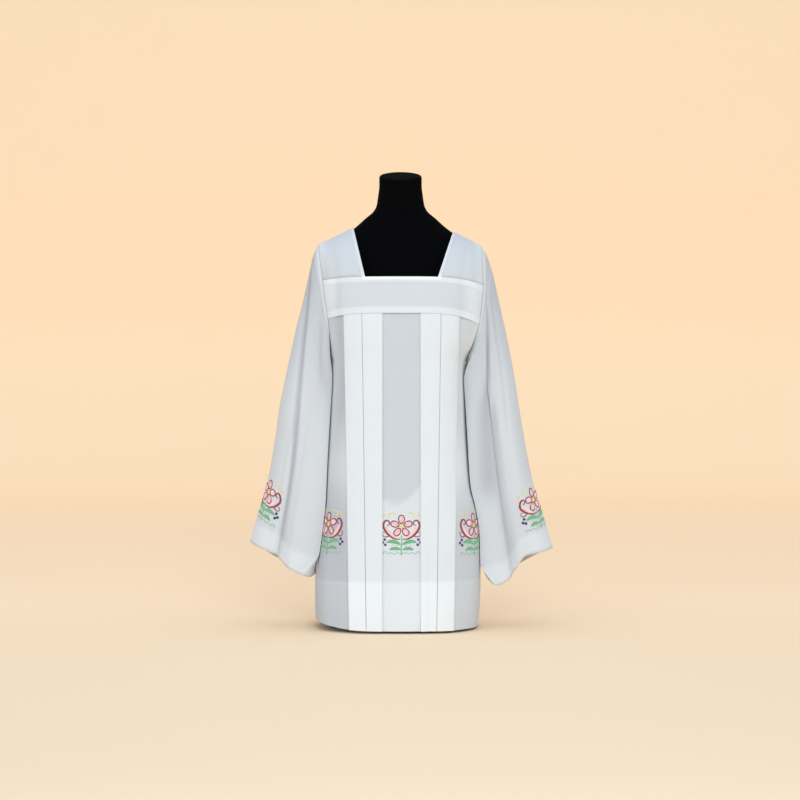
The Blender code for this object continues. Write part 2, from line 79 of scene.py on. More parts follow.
# The body's half widths and depths at each height, and how far a seam there hangs lower at each side
Level = namedtuple("Level", "z right left front back droop_right droop_left")
BODY = [
    Level(6, 205, 186, 150, 150, -12, 0),
    Level(50, 206, 191, 149, 149, -7, 0),
    Level(115, 206, 193, 146, 146, 0, 0),
    Level(153, 200, 193, 143, 143, 0, 0),
    Level(215, 191, 192, 139, 139, 0, 0),
    Level(250, 187, 189, 137, 137, 0, 0),
    Level(295, 182, 181, 134, 134, 0, 0),
    Level(337, 180, 171, 131, 131, 0, 0),
    Level(378, 178.5, 167, 128, 128, 0, 0),
    Level(450, 175, 163, 124, 122, 0, 0),
    Level(540, 170, 158, 120, 116, 0, 0),
    Level(598, 167, 155, 119, 113, 0, 0),
    Level(642, 167, 158, 118, 112, 0, 0),
    Level(685, 168, 172, 119, 112, 6, 11),
    Level(752, 173, 187, 118, 112, 14, 26),
    Level(794, 181, 194, 116, 111, 10, 21),
    Level(839, 186, 198, 111, 108, 6, 15),
    Level(874, 189, 198, 106, 104, 4, 10),
]
DROOP_REACH = 185.0

# The highest line of each shoulder strap: its ends at the neck and at the arm, and how far back it lies
Ridge = namedtuple("Ridge", "neck_x neck_z arm_x arm_z y")
RIDGE = {RIGHT: Ridge(114, 965.2, 199, 924.7, 5), LEFT: Ridge(127.4, 955.9, 196, 921.6, 5)}

# How a strap arches up to it: the share climbed straight, what of that the neck loses, and the share over
ARCH_LEAN = 0.5
ARCH_LEAN_LOSS = 0.12
ARCH_OVER = 0.55
SLOPE_REACH = 10

# Each box pleat's edges from the middle, at the yoke and at the hem
BoxPleat = namedtuple("BoxPleat", "top_in top_out hem_in hem_out")
PLEATS = [BoxPleat(45, 93, 45, 82), BoxPleat(94.4, 137.4, 83.4, 123.2)]

# The edge of each cuff, by how far round the sleeve: from its outer line round the front and back
Cuff = namedtuple("Cuff", "share x y z")
CUFFS = {
    RIGHT: [
        Cuff(0.00, -364, 4, 204),
        Cuff(0.07, -345, -30, 195),
        Cuff(0.14, -320, -44, 185),
        Cuff(0.21, -296, -40, 175),
        Cuff(0.26, -284, -34, 157),
        Cuff(0.32, -266, -47, 142),
        Cuff(0.39, -241, -54, 130),
        Cuff(0.46, -216, -34, 123),
        Cuff(0.50, -206, 2, 128),
        Cuff(0.56, -221, 36, 124),
        Cuff(0.66, -264, 56, 142),
        Cuff(0.78, -309, 45, 166),
        Cuff(0.90, -346, 38, 190),
    ],
    LEFT: [
        Cuff(0.00, 369, 4, 190),
        Cuff(0.07, 350, -30, 184),
        Cuff(0.14, 322, -44, 179),
        Cuff(0.21, 298, -40, 171),
        Cuff(0.27, 277, -34, 139),
        Cuff(0.33, 256, -49, 114),
        Cuff(0.40, 231, -56, 104),
        Cuff(0.46, 207, -36, 122),
        Cuff(0.50, 198, 2, 150),
        Cuff(0.56, 209, 36, 136),
        Cuff(0.66, 252, 57, 124),
        Cuff(0.78, 303, 46, 154),
        Cuff(0.90, 351, 37, 180),
    ],
}

# How far out each sleeve's outer line stands from a straight one, on the way down
Sag = namedtuple("Sag", "down right left")
SAGS = [
    Sag(0.0, 0, 0),
    Sag(0.04, 7.5, 8),
    Sag(0.1, 6, 11.3),
    Sag(0.2, 5.3, 10.1),
    Sag(0.28, 7, 9.6),
    Sag(0.42, 6, 5.4),
    Sag(0.53, 4.4, -1),
    Sag(0.62, -1, -5.5),
    Sag(0.7, -5.5, -9),
    Sag(0.78, -8.3, -10.8),
    Sag(0.85, -6, -7),
    Sag(0.92, -3, -3.6),
    Sag(1.0, 0, 0),
]

# Troughs down the sleeves: the large ones of the solids, then softer creases, with where each starts and ends
Trough = namedtuple("Trough", "side depth width top upper lower cuff start end")
TROUGHS = [
    Trough(RIGHT, 7.0, 0.024, 0.0, 0.137, 0.217, 0.233, 0.0, 1.1),
    Trough(RIGHT, 4.5, 0.05, 0.88, 0.84, 0.80, 0.78, 0.0, 1.1),
    Trough(LEFT, 6.5, 0.024, 0.17, 0.318, 0.332, 0.333, 0.0, 0.74),
    Trough(LEFT, 5.5, 0.024, 0.27, 0.277, 0.291, 0.274, 0.42, 1.1),
    Trough(LEFT, 4.5, 0.05, 0.86, 0.82, 0.79, 0.78, 0.0, 1.1),
    Trough(RIGHT, 2.2, 0.020, 0.36, 0.375, 0.38, 0.38, 0.12, 1.1),
    Trough(RIGHT, 1.6, 0.018, 0.20, 0.20, 0.13, 0.14, 0.6, 1.1),
    Trough(RIGHT, 2.0, 0.025, 0.70, 0.69, 0.67, 0.66, 0.2, 0.9),
    Trough(RIGHT, 2.4, 0.030, 0.99, 0.97, 0.95, 0.95, 0.08, 0.62),
    Trough(RIGHT, 3.0, 0.030, 0.22, 0.36, 0.40, 0.40, 0.0, 0.32),
    Trough(LEFT, 2.4, 0.030, 0.98, 0.99, 0.96, 0.95, 0.10, 0.66),
    Trough(LEFT, 2.0, 0.020, 0.36, 0.385, 0.385, 0.38, 0.2, 1.1),
    Trough(LEFT, 1.8, 0.020, 0.12, 0.16, 0.19, 0.18, 0.1, 0.6),
    Trough(LEFT, 2.0, 0.025, 0.68, 0.70, 0.68, 0.66, 0.2, 0.9),
]

# The dress form's half width and depths at each height, and its sloping top
Ring = namedtuple("Ring", "z half front back")
FORM = [
    Ring(296, 60, 44, 44),
    Ring(299, 84, 60, 58),
    Ring(308, 116, 80, 78),
    Ring(326, 139, 96, 94),
    Ring(356, 148, 102, 102),
    Ring(416, 150, 106, 107),
    Ring(486, 147, 103, 102),
    Ring(551, 143, 98, 91),
    Ring(626, 146, 102, 91),
    Ring(696, 152, 106, 96),
    Ring(756, 159, 107, 100),
    Ring(816, 168, 100, 99),
    Ring(858, 177, 88, 93),
    Ring(890, 183, 75, 84),
    Ring(908, 182, 67, 76),
    Ring(922, 176, 62, 71),
    Ring(933, 164, 59, 68),
    Ring(943, 145, 57, 66),
    Ring(952, 127, 55, 64),
    Ring(962, 113, 54, 62),
    Ring(973, 100, 53, 61),
    Ring(986, 86, 52, 60),
    Ring(1004, 65, 51, 58),
    Ring(1018, 58, 50, 56),
    Ring(1036, 55, 49, 55),
    Ring(1062, 51.5, 48, 53),
]
NECK_TOP = 1091.0
NECK_SLOPE = 0.33
NECK_Y = 3.0

# The rounded rim of the neck's top: how far in from its side and how far down from its top
NECK_RIM = ((0, 12), (0, 4), (0.8, 1.6), (2.0, 0.5), (3.6, 0), (18, 0), (34, 0), (49.9, 0))

# How finely the shells are drawn, in points across and rows up
BODY_STEPS = 80
FORM_COLUMNS = 96
FORM_BOTTOM = (0.35, 0.7)
FORM_LOW = (296, 297, 299, 303)
FORM_ROWS = 110
SIDE_SHARES = [(i + 1) / 12 for i in range(12)]
YOKE_ACROSS = [0, 8, 16, 24, 32, 40, 48, 56, 64, 71, 78, 86, 90, 94, 102, 110, 119, 128, 137.4]
SHOULDER_FRONT_ROWS = 18
SHOULDER_BACK_ROWS = 14
SLEEVE_ROWS = [0, 0.012, 0.03, 0.05] + [0.05 + 0.95 * (i + 1) / 76 for i in range(76)]

# Where a sleeve's inner side hangs: this far out from the body, or from this share of its half width
BESIDE = 1.15
WRAP = 0.965

# Where that holds: by the share round the sleeve and by how far down it, as marks and amounts
BESIDE_ROUND = ((0, 0.3, 0.39, 0.61, 0.72, 1), (0, 0, 1, 1, 0, 0))
BESIDE_DOWN = ((0, 0.16, 0.9, 1), (0, 1, 1, 0))

# The wall of the cloth's solids, and how a sleeve's mouth clears the armhole: in seams, walls and millimetres
SOLID_WALL = 1.1
MOUTH_SEAMS = 1.9
MOUTH_WALLS = 0.6
MOUTH_OUT = 0.5

# How far down a sleeve each mark of a trough's course lies
TROUGH_DOWN = (0, 0.35, 0.7, 1)

# How far doubled cloth stands out over a single layer, in millimetres
HEM_LIFT = 0.35
YOKE_LOWER_LIFT = 0.8
YOKE_UPPER_LIFT = 0.4

# Soft vertical waves over the panels: middle, half width and depth, and the heights where each fades out
Wave = namedtuple("Wave", "face x width depth low high fade")
WAVES = [
    Wave(FRONT, -153, 11, 3.0, 690, 905, 40),
    Wave(FRONT, 148, 9, 2.6, 700, 900, 40),
    Wave(FRONT, 69, 7, 2.4, -60, 150, 110),
    Wave(FRONT, -160, 14, 3.0, -60, 420, 160),
    Wave(FRONT, 158, 15, 3.2, -60, 460, 160),
    Wave(FRONT, -178, 9, -2.2, -60, 200, 110),
    Wave(FRONT, 20, 16, 1.0, 100, 620, 120),
    Wave(FRONT, -24, 14, -0.8, 60, 560, 120),
    Wave(BACK, -150, 12, 3.0, 690, 905, 40),
    Wave(BACK, 150, 12, 2.8, 700, 905, 40),
    Wave(BACK, -158, 15, 3.0, -60, 430, 160),
    Wave(BACK, 156, 14, 3.2, -60, 420, 160),
    Wave(BACK, -66, 8, 2.0, -60, 160, 110),
    Wave(BACK, 16, 16, 1.0, 100, 620, 120),
]


def smooth(at, xs, ys):
    """Reads a smooth curve through the points (xs, ys) that never overshoots them."""
    xs = np.asarray(xs, float)
    ys = np.asarray(ys, float)
    at = np.clip(np.asarray(at, float), xs[0], xs[-1])
    width = np.diff(xs)
    slope = np.diff(ys) / width
    tangent = np.zeros(len(xs))
    tangent[0], tangent[-1] = slope[0], slope[-1]
    product = slope[1:] * slope[:-1]
    total = np.where(product > 0, slope[1:] + slope[:-1], 1.0)
    tangent[1:-1] = np.where(product > 0, 2 * product / total, 0.0)
    i = np.clip(np.searchsorted(xs, at, side="right") - 1, 0, len(width) - 1)
    t = (at - xs[i]) / width[i]
    return (
        ys[i] * (1 + 2 * t) * (1 - t) ** 2
        + tangent[i] * width[i] * t * (1 - t) ** 2
        + ys[i + 1] * t * t * (3 - 2 * t)
        + tangent[i + 1] * width[i] * t * t * (t - 1)
    )


def step(low, high, value):
    """0 below low, 1 above high and smooth between."""
    t = np.clip((np.asarray(value, float) - low) / (high - low), 0, 1)
    return t * t * (3 - 2 * t)


def body(z, column):
    """A column of the body's table at any height."""
    return float(smooth(z, [row.z for row in BODY], [getattr(row, column) for row in BODY]))


def armhole_depth(face, z):
    """How far in front of or behind the shoulder line the armhole's edge lies."""
    half = ARMHOLE_TOP - ARMHOLE_MIDDLE if z > ARMHOLE_MIDDLE else ARMHOLE_MIDDLE - UNDERARM
    share = min(1.0, abs(z - ARMHOLE_MIDDLE) / half)
    if z < UNDERARM:
        return 0.0
    return ARMHOLE_DEPTH[face] * (1 - share**ARMHOLE_ROUND) ** (1 / ARMHOLE_ROUND)


def outline(face, z):
    """The body's line across one face at one height: lengths from x = 0, points and outward normals."""
    depth = body(z, "front" if face == FRONT else "back")
    edge = armhole_depth(face, z)
    halves = []
    for side in (RIGHT, LEFT):
        reach = body(z, "left" if side == LEFT else "right")
        full = reach / (1 - (edge / depth) ** FULLNESS) ** (1 / FULLNESS)
        turn = np.linspace(0, math.atan2(reach, edge), BODY_STEPS)
        radius = ((np.sin(turn) / full) ** FULLNESS + (np.cos(turn) / depth) ** FULLNESS) ** (-1 / FULLNESS)
        halves.append(np.c_[side * radius * np.sin(turn), face * radius * np.cos(turn)])
    points = np.concatenate([halves[0][::-1], halves[1][1:]])
    length = np.r_[0, np.cumsum(np.linalg.norm(np.diff(points, axis=0), axis=1))]
    length -= length[BODY_STEPS - 1]
    tangent = np.gradient(points, length, axis=0)
    tangent /= np.linalg.norm(tangent, axis=1)[:, None]
    normal = face * np.c_[-tangent[:, 1], tangent[:, 0]]
    return length, points, normal


def droop(face, z, x):
    """How far a seam at this height hangs lower at x than at the middle."""
    column = "droop_left" if x > MIDDLE else "droop_right"
    share = 0.5 if face == BACK and z > UNDERARM else 1.0
    return share * body(z, column) * (abs(x - MIDDLE) / DROOP_REACH) ** 4


def wave(face, x, z):
    """How far the cloth at a place stands in, over its plain form."""
    total = 0.0
    for w in WAVES:
        if w.face == face and abs(x - w.x) < 3 * w.width:
            rise = step(w.low - w.fade, w.low + 1, z) * (1 - step(w.high, w.high + w.fade, z))
            total -= w.depth * rise * math.exp(-(((x - w.x) / w.width) ** 2))
    return total


def on_body(face, z, line, length, height):
    """A point of the body at a length along its line, moved out by a height."""
    s, points, normal = line
    nx = np.interp(length, s, normal[:, 0])
    ny = np.interp(length, s, normal[:, 1])
    x = np.interp(length, s, points[:, 0])
    height = height + wave(face, x, z)
    y = np.interp(length, s, points[:, 1]) + height * ny
    return np.array([x + height * nx, y, z - droop(face, z, x + height * nx)])


def offset(path, distance):
    """A path moved sideways with square corners, as (length, height) pairs."""
    path = np.array(path)
    move = np.diff(path, axis=0)
    move /= np.linalg.norm(move, axis=1)[:, None]
    across = np.c_[-move[:, 1], move[:, 0]]
    before = np.concatenate([across[:1], across])
    after = np.concatenate([across, across[-1:]])
    dot = (before * after).sum(axis=1)
    return path + distance * (before + after) / (1 + dot)[:, None]


def body_side(side, points):
    """How far out the body reaches beside each of these points."""
    found = []
    for _, y, z in points:
        reach = body(z, "left" if side == LEFT else "right")
        depth = body(z, "front" if y < 0 else "back")
        found.append(reach * (1 - min(1.0, abs(y) / depth) ** FULLNESS) ** (1 / FULLNESS))
    return np.array(found)


def ends_of(z, line):
    """The lengths at which a panel stops, just short of a side seam."""
    trim = SEAM / 2 if z <= UNDERARM else 0.0
    return {RIGHT: line[0][0] + trim, LEFT: line[0][-1] - trim}


# The runs of cloth from a skirt's middle outward: the marks at each run's ends, its layer and its points
Run = namedtuple("Run", "start end layer count")
RUNS = [
    Run("middle", "b", 0, 12),
    Run("b", "a", 1, 4),
    Run("a", "d", 2, 9),
    Run("d", "c", 1, 4),
    Run("c", "f", 0, 7),
    Run("f", "e", 1, 4),
    Run("e", "h", 2, 8),
    Run("h", "g", 1, 4),
    Run("g", "h", 0, 5),
]
MIDDLE_BILLOW = 4.0
ARC = [math.radians(a) for a in (-60, -30, 0, 30, 60)]


def pleated_path(z, line):
    """The folds across one skirt at one height, from right to left, as (length, height, run)."""
    down = (YOKE_SEAM - z) / (YOKE_SEAM - HEM)
    pitch = PITCH_TOP + (PITCH_HEM - PITCH_TOP) * down
    ends = ends_of(z, line)
    marks = {"middle": 0.0}
    for pleat, names in zip(PLEATS, ("abcd", "efgh")):
        first = pleat.top_in + (pleat.hem_in - pleat.top_in) * down
        last = pleat.top_out + (pleat.hem_out - pleat.top_out) * down
        under = UNDER_SHARE * (last - first)
        marks.update(zip(names, (first, first + under, last - under, last)))
    heights = [-2 * pitch, -pitch, 0.0]
    halves = {}
    for side in (RIGHT, LEFT):
        half = []
        for i, run in enumerate(RUNS):
            way = 1 if marks[run.end] > marks[run.start] else -1
            first = marks[run.start] + (way * pitch / 2 if i else 0)
            final = i == len(RUNS) - 1
            last = marks[run.end] - (0 if final else way * pitch / 2)
            for x in np.linspace(first, last, run.count):
                billow = 0.0
                if i == 0:
                    billow = MIDDLE_BILLOW * down**2 * (1 - step(0.3 * marks["a"], marks["b"], x))
                half.append((x, heights[run.layer] + billow, i))
            if not final:
                rise = heights[RUNS[i + 1].layer] - heights[run.layer]
                for angle in ARC:
                    x = last + way * abs(rise) / 2 * math.cos(angle)
                    half.append((x, heights[run.layer] + rise / 2 * (1 + math.sin(angle)), i))
        half = [(float(np.interp(MIDDLE + side * x, line[1][:, 0], line[0])), h, i) for x, h, i in half]
        last = half[-1][0]
        for share in SIDE_SHARES:
            half.append((last + (ends[side] - last) * share, heights[0] * (1 - step(0, 1, share)), len(RUNS)))
        halves[side] = half
    return halves[RIGHT][:0:-1] + halves[LEFT]


def skirt_heights():
    """Every height at which a skirt has a row, with pairs close together at the hem's fold."""
    fold = HEM + props().hem_depth
    hem = [HEM, HEM + 1.2, HEM + 3] + list(np.linspace(HEM + 12, fold - 8, 9))
    at_fold = [fold - 1.6, fold - 0.4, fold + 0.8]
    plain = list(np.linspace(fold + 8, UNDERARM - 8, 46))
    rises = (0, 1.5, 4, 7.5, 12, 18, 25, 34, 44, 55, 66, 77, 88, 98, 104, 108, 110)
    return hem + at_fold + plain + [UNDERARM + rise for rise in rises]


def props():
    """The garment's sizes, as set in the panel."""
    return bpy.context.scene.surplice_sizes


def colours():
    """The garment's colours, as set in the panel."""
    return bpy.context.scene.surplice_colours


# How grey the skirts are, from 0 for white to 1 for one layer close to the form: at the hem, and above it
MIDDLE_VEIL = 0.36
MIDDLE_VEIL_ABOVE = 0.26
PLEAT_VEIL = 0.16
PLEAT_VEIL_ABOVE = 0.28
HEM_EDGE = (0, 3)

# Each side panel's grey below the form and beside it, the heights where it changes, and its share at the hem:
# painted shade, deeper on the right panel, with the form showing through where it stands behind
SIDE_VEIL_AND_SHADE = {RIGHT: (1.3, 0.78), LEFT: (1.0, 0.3)}
SIDE_VEIL_AND_SHADE_RISE = (250, 400)
SIDE_HEM_SHARE = 0.88

# How the side panels' painted shade grows toward the pleats, by depth and height, and fades at the side seams
NEAR_PLEAT_SHADE = 0.6
NEAR_PLEAT_REACH = (55, 90)
NEAR_PLEAT_RISE = (380, 560)
SIDE_SEAM_REACH = (15, 50)

# How grey the yokes and straps are, what they lose outward and where, and what a yoke's doubled edges lose
YOKE_VEIL = 0.85
YOKE_OUTWARD = (145, 175)
STRAP_VEIL = 0.95
STRAP_OUTWARD = (170, 195)
OUTWARD_LOSS = 0.35
YOKE_FOLD_LOSS = 0.42

# How grey the sleeves are, as painted shade with the dark hollow inside showing through; the painted shade
# added at the head down to the middle; and what their seams, inner lines and cuffs lose, the inner lines as
# painted light against the shade beside the body
SLEEVE_SHADE = 0.76
SLEEVE_TOP_SHADE = 0.4
SLEEVE_TOP_REACH = (0, 0.5)
SLEEVE_SEAM_LOSS = 0.45
SLEEVE_SEAM_REACH = (9, 13)
SLEEVE_INNER_PAINTED_LIGHT = 0.6
SLEEVE_INNER_REACH = (0.7, 0.95)
CUFF_SHARE = 0.7

# How grey the neck band is above the front's top edge, and how far round that edge it changes
BAND_VEIL = 0.65
BAND_REACH = 4

# How much painted shade a sleeve takes for each millimetre of a trough
TROUGH_SHADE = 0.09

# The form's shadow through the front: its lowest height, where that lies, and how its lower edge curves up
SHADOW_LOW = 286.0
SHADOW_X = -12.0
SHADOW_CURVE = 0.012

# How softly that shadow ends: over its lower edge, and inside and outside the form's half width
SHADOW_FADE = 26
SHADOW_INSIDE = 14
SHADOW_OUTSIDE = 6


def form(z, column):
    """A column of the form's table at any height."""
    return float(smooth(z, [row.z for row in FORM], [getattr(row, column) for row in FORM]))


def form_edge(x, z):
    """1 where the dark form stands behind the cloth, fading to 0 round its outline."""
    half = form(z, "half")
    low = SHADOW_LOW + SHADOW_CURVE * (x - SHADOW_X) ** 2
    beyond = step(half - SHADOW_INSIDE, half + SHADOW_OUTSIDE, abs(x))
    return float(step(low, low + SHADOW_FADE, z) * (1 - beyond))


def skirt_veil_and_shade(x, y, z, run):
    """How grey a skirt is at a point: by its run of cloth, the form behind it, the doubled hem and, on the
    side panels, painted shade.
    """
    above_hem = step(*HEM_EDGE, z - HEM - props().hem_depth)
    if run == 0:
        return max(form_edge(x, z), MIDDLE_VEIL + MIDDLE_VEIL_ABOVE * above_hem)
    if run < len(RUNS) - 1:
        return PLEAT_VEIL + PLEAT_VEIL_ABOVE * above_hem
    # The side panels' grey is painted shade, with the form showing through where it stands behind
    low, high = SIDE_VEIL_AND_SHADE[RIGHT if x < 0 else LEFT]
    side_seam = step(*SIDE_SEAM_REACH, abs(y))
    near_pleat = NEAR_PLEAT_SHADE * step(*NEAR_PLEAT_REACH, abs(y)) * step(*NEAR_PLEAT_RISE, z)
    beside = low + (high - low) * step(*SIDE_VEIL_AND_SHADE_RISE, z)
    hem_share = SIDE_HEM_SHARE + (1 - SIDE_HEM_SHARE) * above_hem
    return (beside + near_pleat) * hem_share * side_seam


def skirt(face):
    """The pleated panel: its outer, inner and middle points, how grey it is, and its runs and heights."""
    thin = props().cloth_wall * 1000
    heights = skirt_heights()
    layers = []
    runs = None
    for distance in (thin / 2, -thin / 2, 0.0):
        rows = []
        for z in heights:
            line = outline(face, z)
            path = pleated_path(z, line)
            runs = [p[2] for p in path]
            moved = offset([p[:2] for p in path], distance)
            lower = SEAM if z == YOKE_SEAM else 0.0
            doubled = HEM_LIFT if distance > 0 and z < HEM + props().hem_depth else 0.0
            rows.append([on_body(face, z, line, s, h + doubled) - [0, 0, lower] for s, h in moved])
        layers.append(np.array(rows))
    middle = layers[2]
    veil = np.zeros(middle.shape[:2])
    for i in range(middle.shape[0]):
        for j in range(middle.shape[1]):
            veil[i, j] = skirt_veil_and_shade(*middle[i, j], runs[j])
    return layers, veil, runs, heights


def across(z, line):
    """The lengths of a plain panel's points across, from right to left."""
    ends = ends_of(z, line)
    halves = {}
    for side in (RIGHT, LEFT):
        half = [float(np.interp(MIDDLE + side * key, line[1][:, 0], line[0])) for key in YOKE_ACROSS]
        last = half[-1]
        halves[side] = half + [last + (ends[side] - last) * share for share in SIDE_SHARES]
    return halves[RIGHT][::-1] + halves[LEFT][1:]


def yoke_heights(face):
    """Every height at which a yoke has a row, close together at the ends of its doubled edges."""
    top = FRONT_TOP if face == FRONT else BACK_TOP
    lower = [YOKE_SEAM + rise for rise in (0, 1, 3, 9, 15.4, 16, 17)]
    middle = list(np.linspace(YOKE_SEAM + 22, top - 17, 10))
    return lower + middle + [top - 13, top - 12.2, top - BAND, top - 5, top - 2, top]


def yoke(face):
    """The plain band: outer, inner and middle points, with its lower and upper edges doubled."""
    thin = props().cloth_wall * 1000
    heights = yoke_heights(face)
    top = heights[-1]
    layers = []
    for distance in (thin / 2, -thin / 2, 0.0):
        rows = []
        for i, z in enumerate(heights):
            line = outline(face, z)
            nudge = SEAM / 2 if i == 0 else -SEAM / 2 if z == top else 0.0
            lift = 0.0
            if distance > 0 and i:
                lift = YOKE_LOWER_LIFT * (1 - step(YOKE_SEAM + 15.4, YOKE_SEAM + 17, z))
                lift += YOKE_UPPER_LIFT * step(top - 13, top - 12.2, z)
            lengths = across(z, line)
            rows.append([on_body(face, z, line, s, distance + lift) + [0, 0, nudge] for s in lengths])
        layers.append(np.array(rows))
    return layers


def bezier(points, t):
    """A point at share t of a cubic curve with these four controls."""
    a, b, c, d = points
    return a * (1 - t) ** 3 + 3 * b * t * (1 - t) ** 2 + 3 * c * t * t * (1 - t) + d * t**3


def normals_of(grid, round_it=False):
    """A unit normal at each point of a grid, from its neighbours."""
    if round_it:
        along = np.roll(grid, -1, axis=1) - np.roll(grid, 1, axis=1)
    else:
        along = np.gradient(grid, axis=1)
    normal = np.cross(along, np.gradient(grid, axis=0))
    return normal / np.linalg.norm(normal, axis=2)[:, :, None]


def shoulder(side):
    """The strap over one shoulder: outer, inner and middle points, from the front seam to the back seam."""
    thin = props().cloth_wall * 1000
    starts, finishes = [], []
    for face, top, found in ((FRONT, FRONT_TOP, starts), (BACK, BACK_TOP, finishes)):
        line = outline(face, top)
        lower = outline(face, top - SLOPE_REACH)
        count = len([key for key in YOKE_ACROSS if key >= NECK_HALF]) + len(SIDE_SHARES)
        lengths = across(top, line)
        below = across(top - SLOPE_REACH, lower)
        pick = slice(0, count) if side == RIGHT else slice(len(lengths) - count, None)
        for s, under in zip(lengths[pick], below[pick]):
            point = on_body(face, top, line, s, 0.0)
            rise = point - on_body(face, top - SLOPE_REACH, lower, under, 0.0)
            found.append((point + [0, 0, SEAM], rise / rise[2]))
    if side == RIGHT:
        starts, finishes = starts[::-1], finishes[::-1]
    ridge = RIDGE[side]
    first, last = starts[0][0][0], starts[-1][0][0]
    columns = []
    for (start, rise), (finish, fall) in zip(starts, finishes):
        share = (start[0] - first) / (last - first)
        x = side * (ridge.neck_x + (ridge.arm_x - ridge.neck_x) * share)
        z = ridge.neck_z + (ridge.arm_z - ridge.neck_z) * share - SOLID_WALL / 2
        crest = np.array([x, ridge.y, z])
        column = []
        for foot, slope, rows in ((start, rise, SHOULDER_FRONT_ROWS), (finish, fall, SHOULDER_BACK_ROWS)):
            climb = crest[2] - foot[2]
            lean = (ARCH_LEAN - ARCH_LEAN_LOSS * (1 - share)) * climb
            over = ARCH_OVER * (crest[1] - foot[1])
            over_x = (x - foot[0]) * lean / climb
            second = foot + [over_x, slope[1] * lean, lean]
            third = crest - [0, over, 0]
            arch = [bezier((foot, second, third, crest), t) for t in np.linspace(0, 1, rows + 1)]
            column += arch if not column else arch[-2::-1]
        columns.append(column)
    middle = np.array(columns).transpose(1, 0, 2)
    if side == RIGHT:
        middle = middle[:, ::-1]
    normal = normals_of(middle)
    return [middle + normal * thin / 2, middle - normal * thin / 2, middle]


def armhole(side, panels):
    """The armhole's edge from the ridge round the front to the underarm and back up."""
    at = 0 if side == RIGHT else -1
    heights = skirt_heights()
    first = heights.index(UNDERARM)
    strap = panels["shoulder", side]
    peak = SHOULDER_FRONT_ROWS
    parts = [("shoulder", side, row) for row in range(peak, -1, -1)]
    parts += [("yoke", FRONT, row) for row in range(len(panels["yoke", FRONT][2]) - 1, -1, -1)]
    parts += [("skirt", FRONT, row) for row in range(len(heights) - 1, first - 1, -1)]
    parts += [("skirt", BACK, row) for row in range(first, len(heights))]
    parts += [("yoke", BACK, row) for row in range(len(panels["yoke", BACK][2]))]
    parts += [("shoulder", side, row) for row in range(len(strap[2]) - 1, peak, -1)]
    merged = []
    for kind, which, row in parts:
        outer, inner, middle = panels[kind, which]
        across_wall = outer[row, at] - inner[row, at]
        point, normal = middle[row, at], across_wall / np.linalg.norm(across_wall)
        if merged and np.linalg.norm(merged[-1][0] - point) < 4 * SEAM:
            merged[-1] = ((merged[-1][0] + point) / 2, merged[-1][1] + normal)
        else:
            merged.append((point, normal))
    points = np.array([m[0] for m in merged])
    normals = np.array([m[1] for m in merged])
    normals /= np.linalg.norm(normals, axis=1)[:, None]
    edge = np.roll(points, -1, axis=0) - np.roll(points, 1, axis=0)
    edge /= np.linalg.norm(edge, axis=1)[:, None]
    off = np.cross(edge, normals)
    inward = points.mean(axis=0) - points
    off *= np.sign((off * inward).sum(axis=1))[:, None]
    off /= np.linalg.norm(off, axis=1)[:, None]
    return points, normals, off, edge


def shares_round(points):
    """How far round the armhole each point is: 0 at the ridge, 0.5 at the underarm."""
    length = np.linalg.norm(np.roll(points, -1, axis=0) - points, axis=1)
    along = np.r_[0, np.cumsum(length)]
    lowest = int(points[:, 2].argmin())
    front = 0.5 * along[: lowest + 1] / along[lowest]
    back = 0.5 + 0.5 * (along[lowest + 1 : -1] - along[lowest]) / (along[-1] - along[lowest])
    return np.r_[front, back]


def cuff_points(side, shares):
    """The points of a cuff's edge at these shares round it, on a smooth closed curve."""
    rows = CUFFS[side]
    marks = np.array([row.share for row in rows] + [1.0])
    found = []
    for column in ("x", "y", "z"):
        values = np.array([getattr(row, column) for row in rows] + [getattr(rows[0], column)])
        wrapped = np.r_[marks[-3:-1] - 1, marks, marks[1:3] + 1]
        around = np.r_[values[-3:-1], values, values[1:3]]
        found.append(smooth(shares, wrapped, around))
    return np.stack(found, axis=1)


def outward_normals(grid):
    """The normals of a sleeve's surface, all turned outward."""
    normal = normals_of(grid, round_it=True)
    if (normal[-1, :, 0] * (grid[-1, :, 0] - grid[-1, :, 0].mean())).sum() < 0:
        normal = -normal
    return normal


def press_troughs(side, grid, shares):
    """Presses the troughs into a sleeve's grid, and gives the painted shade they add at each point."""
    normal = outward_normals(grid)
    shade = np.zeros(grid.shape[:2])
    for trough in [t for t in TROUGHS if t.side == side]:
        for i, down in enumerate(SLEEVE_ROWS):
            centre = smooth(down, TROUGH_DOWN, [trough.top, trough.upper, trough.lower, trough.cuff])
            reach = (shares - centre) / trough.width
            rise = min(1, down * 6) * step(trough.start - 0.12, trough.start + 0.01, down)
            rise = rise * (1 - step(trough.end - 0.15, trough.end, down))
            dip = trough.depth * rise * np.exp(-(reach**2))
            grid[i] -= normal[i] * dip[:, None]
            shade[i] += TROUGH_SHADE * dip
    return shade


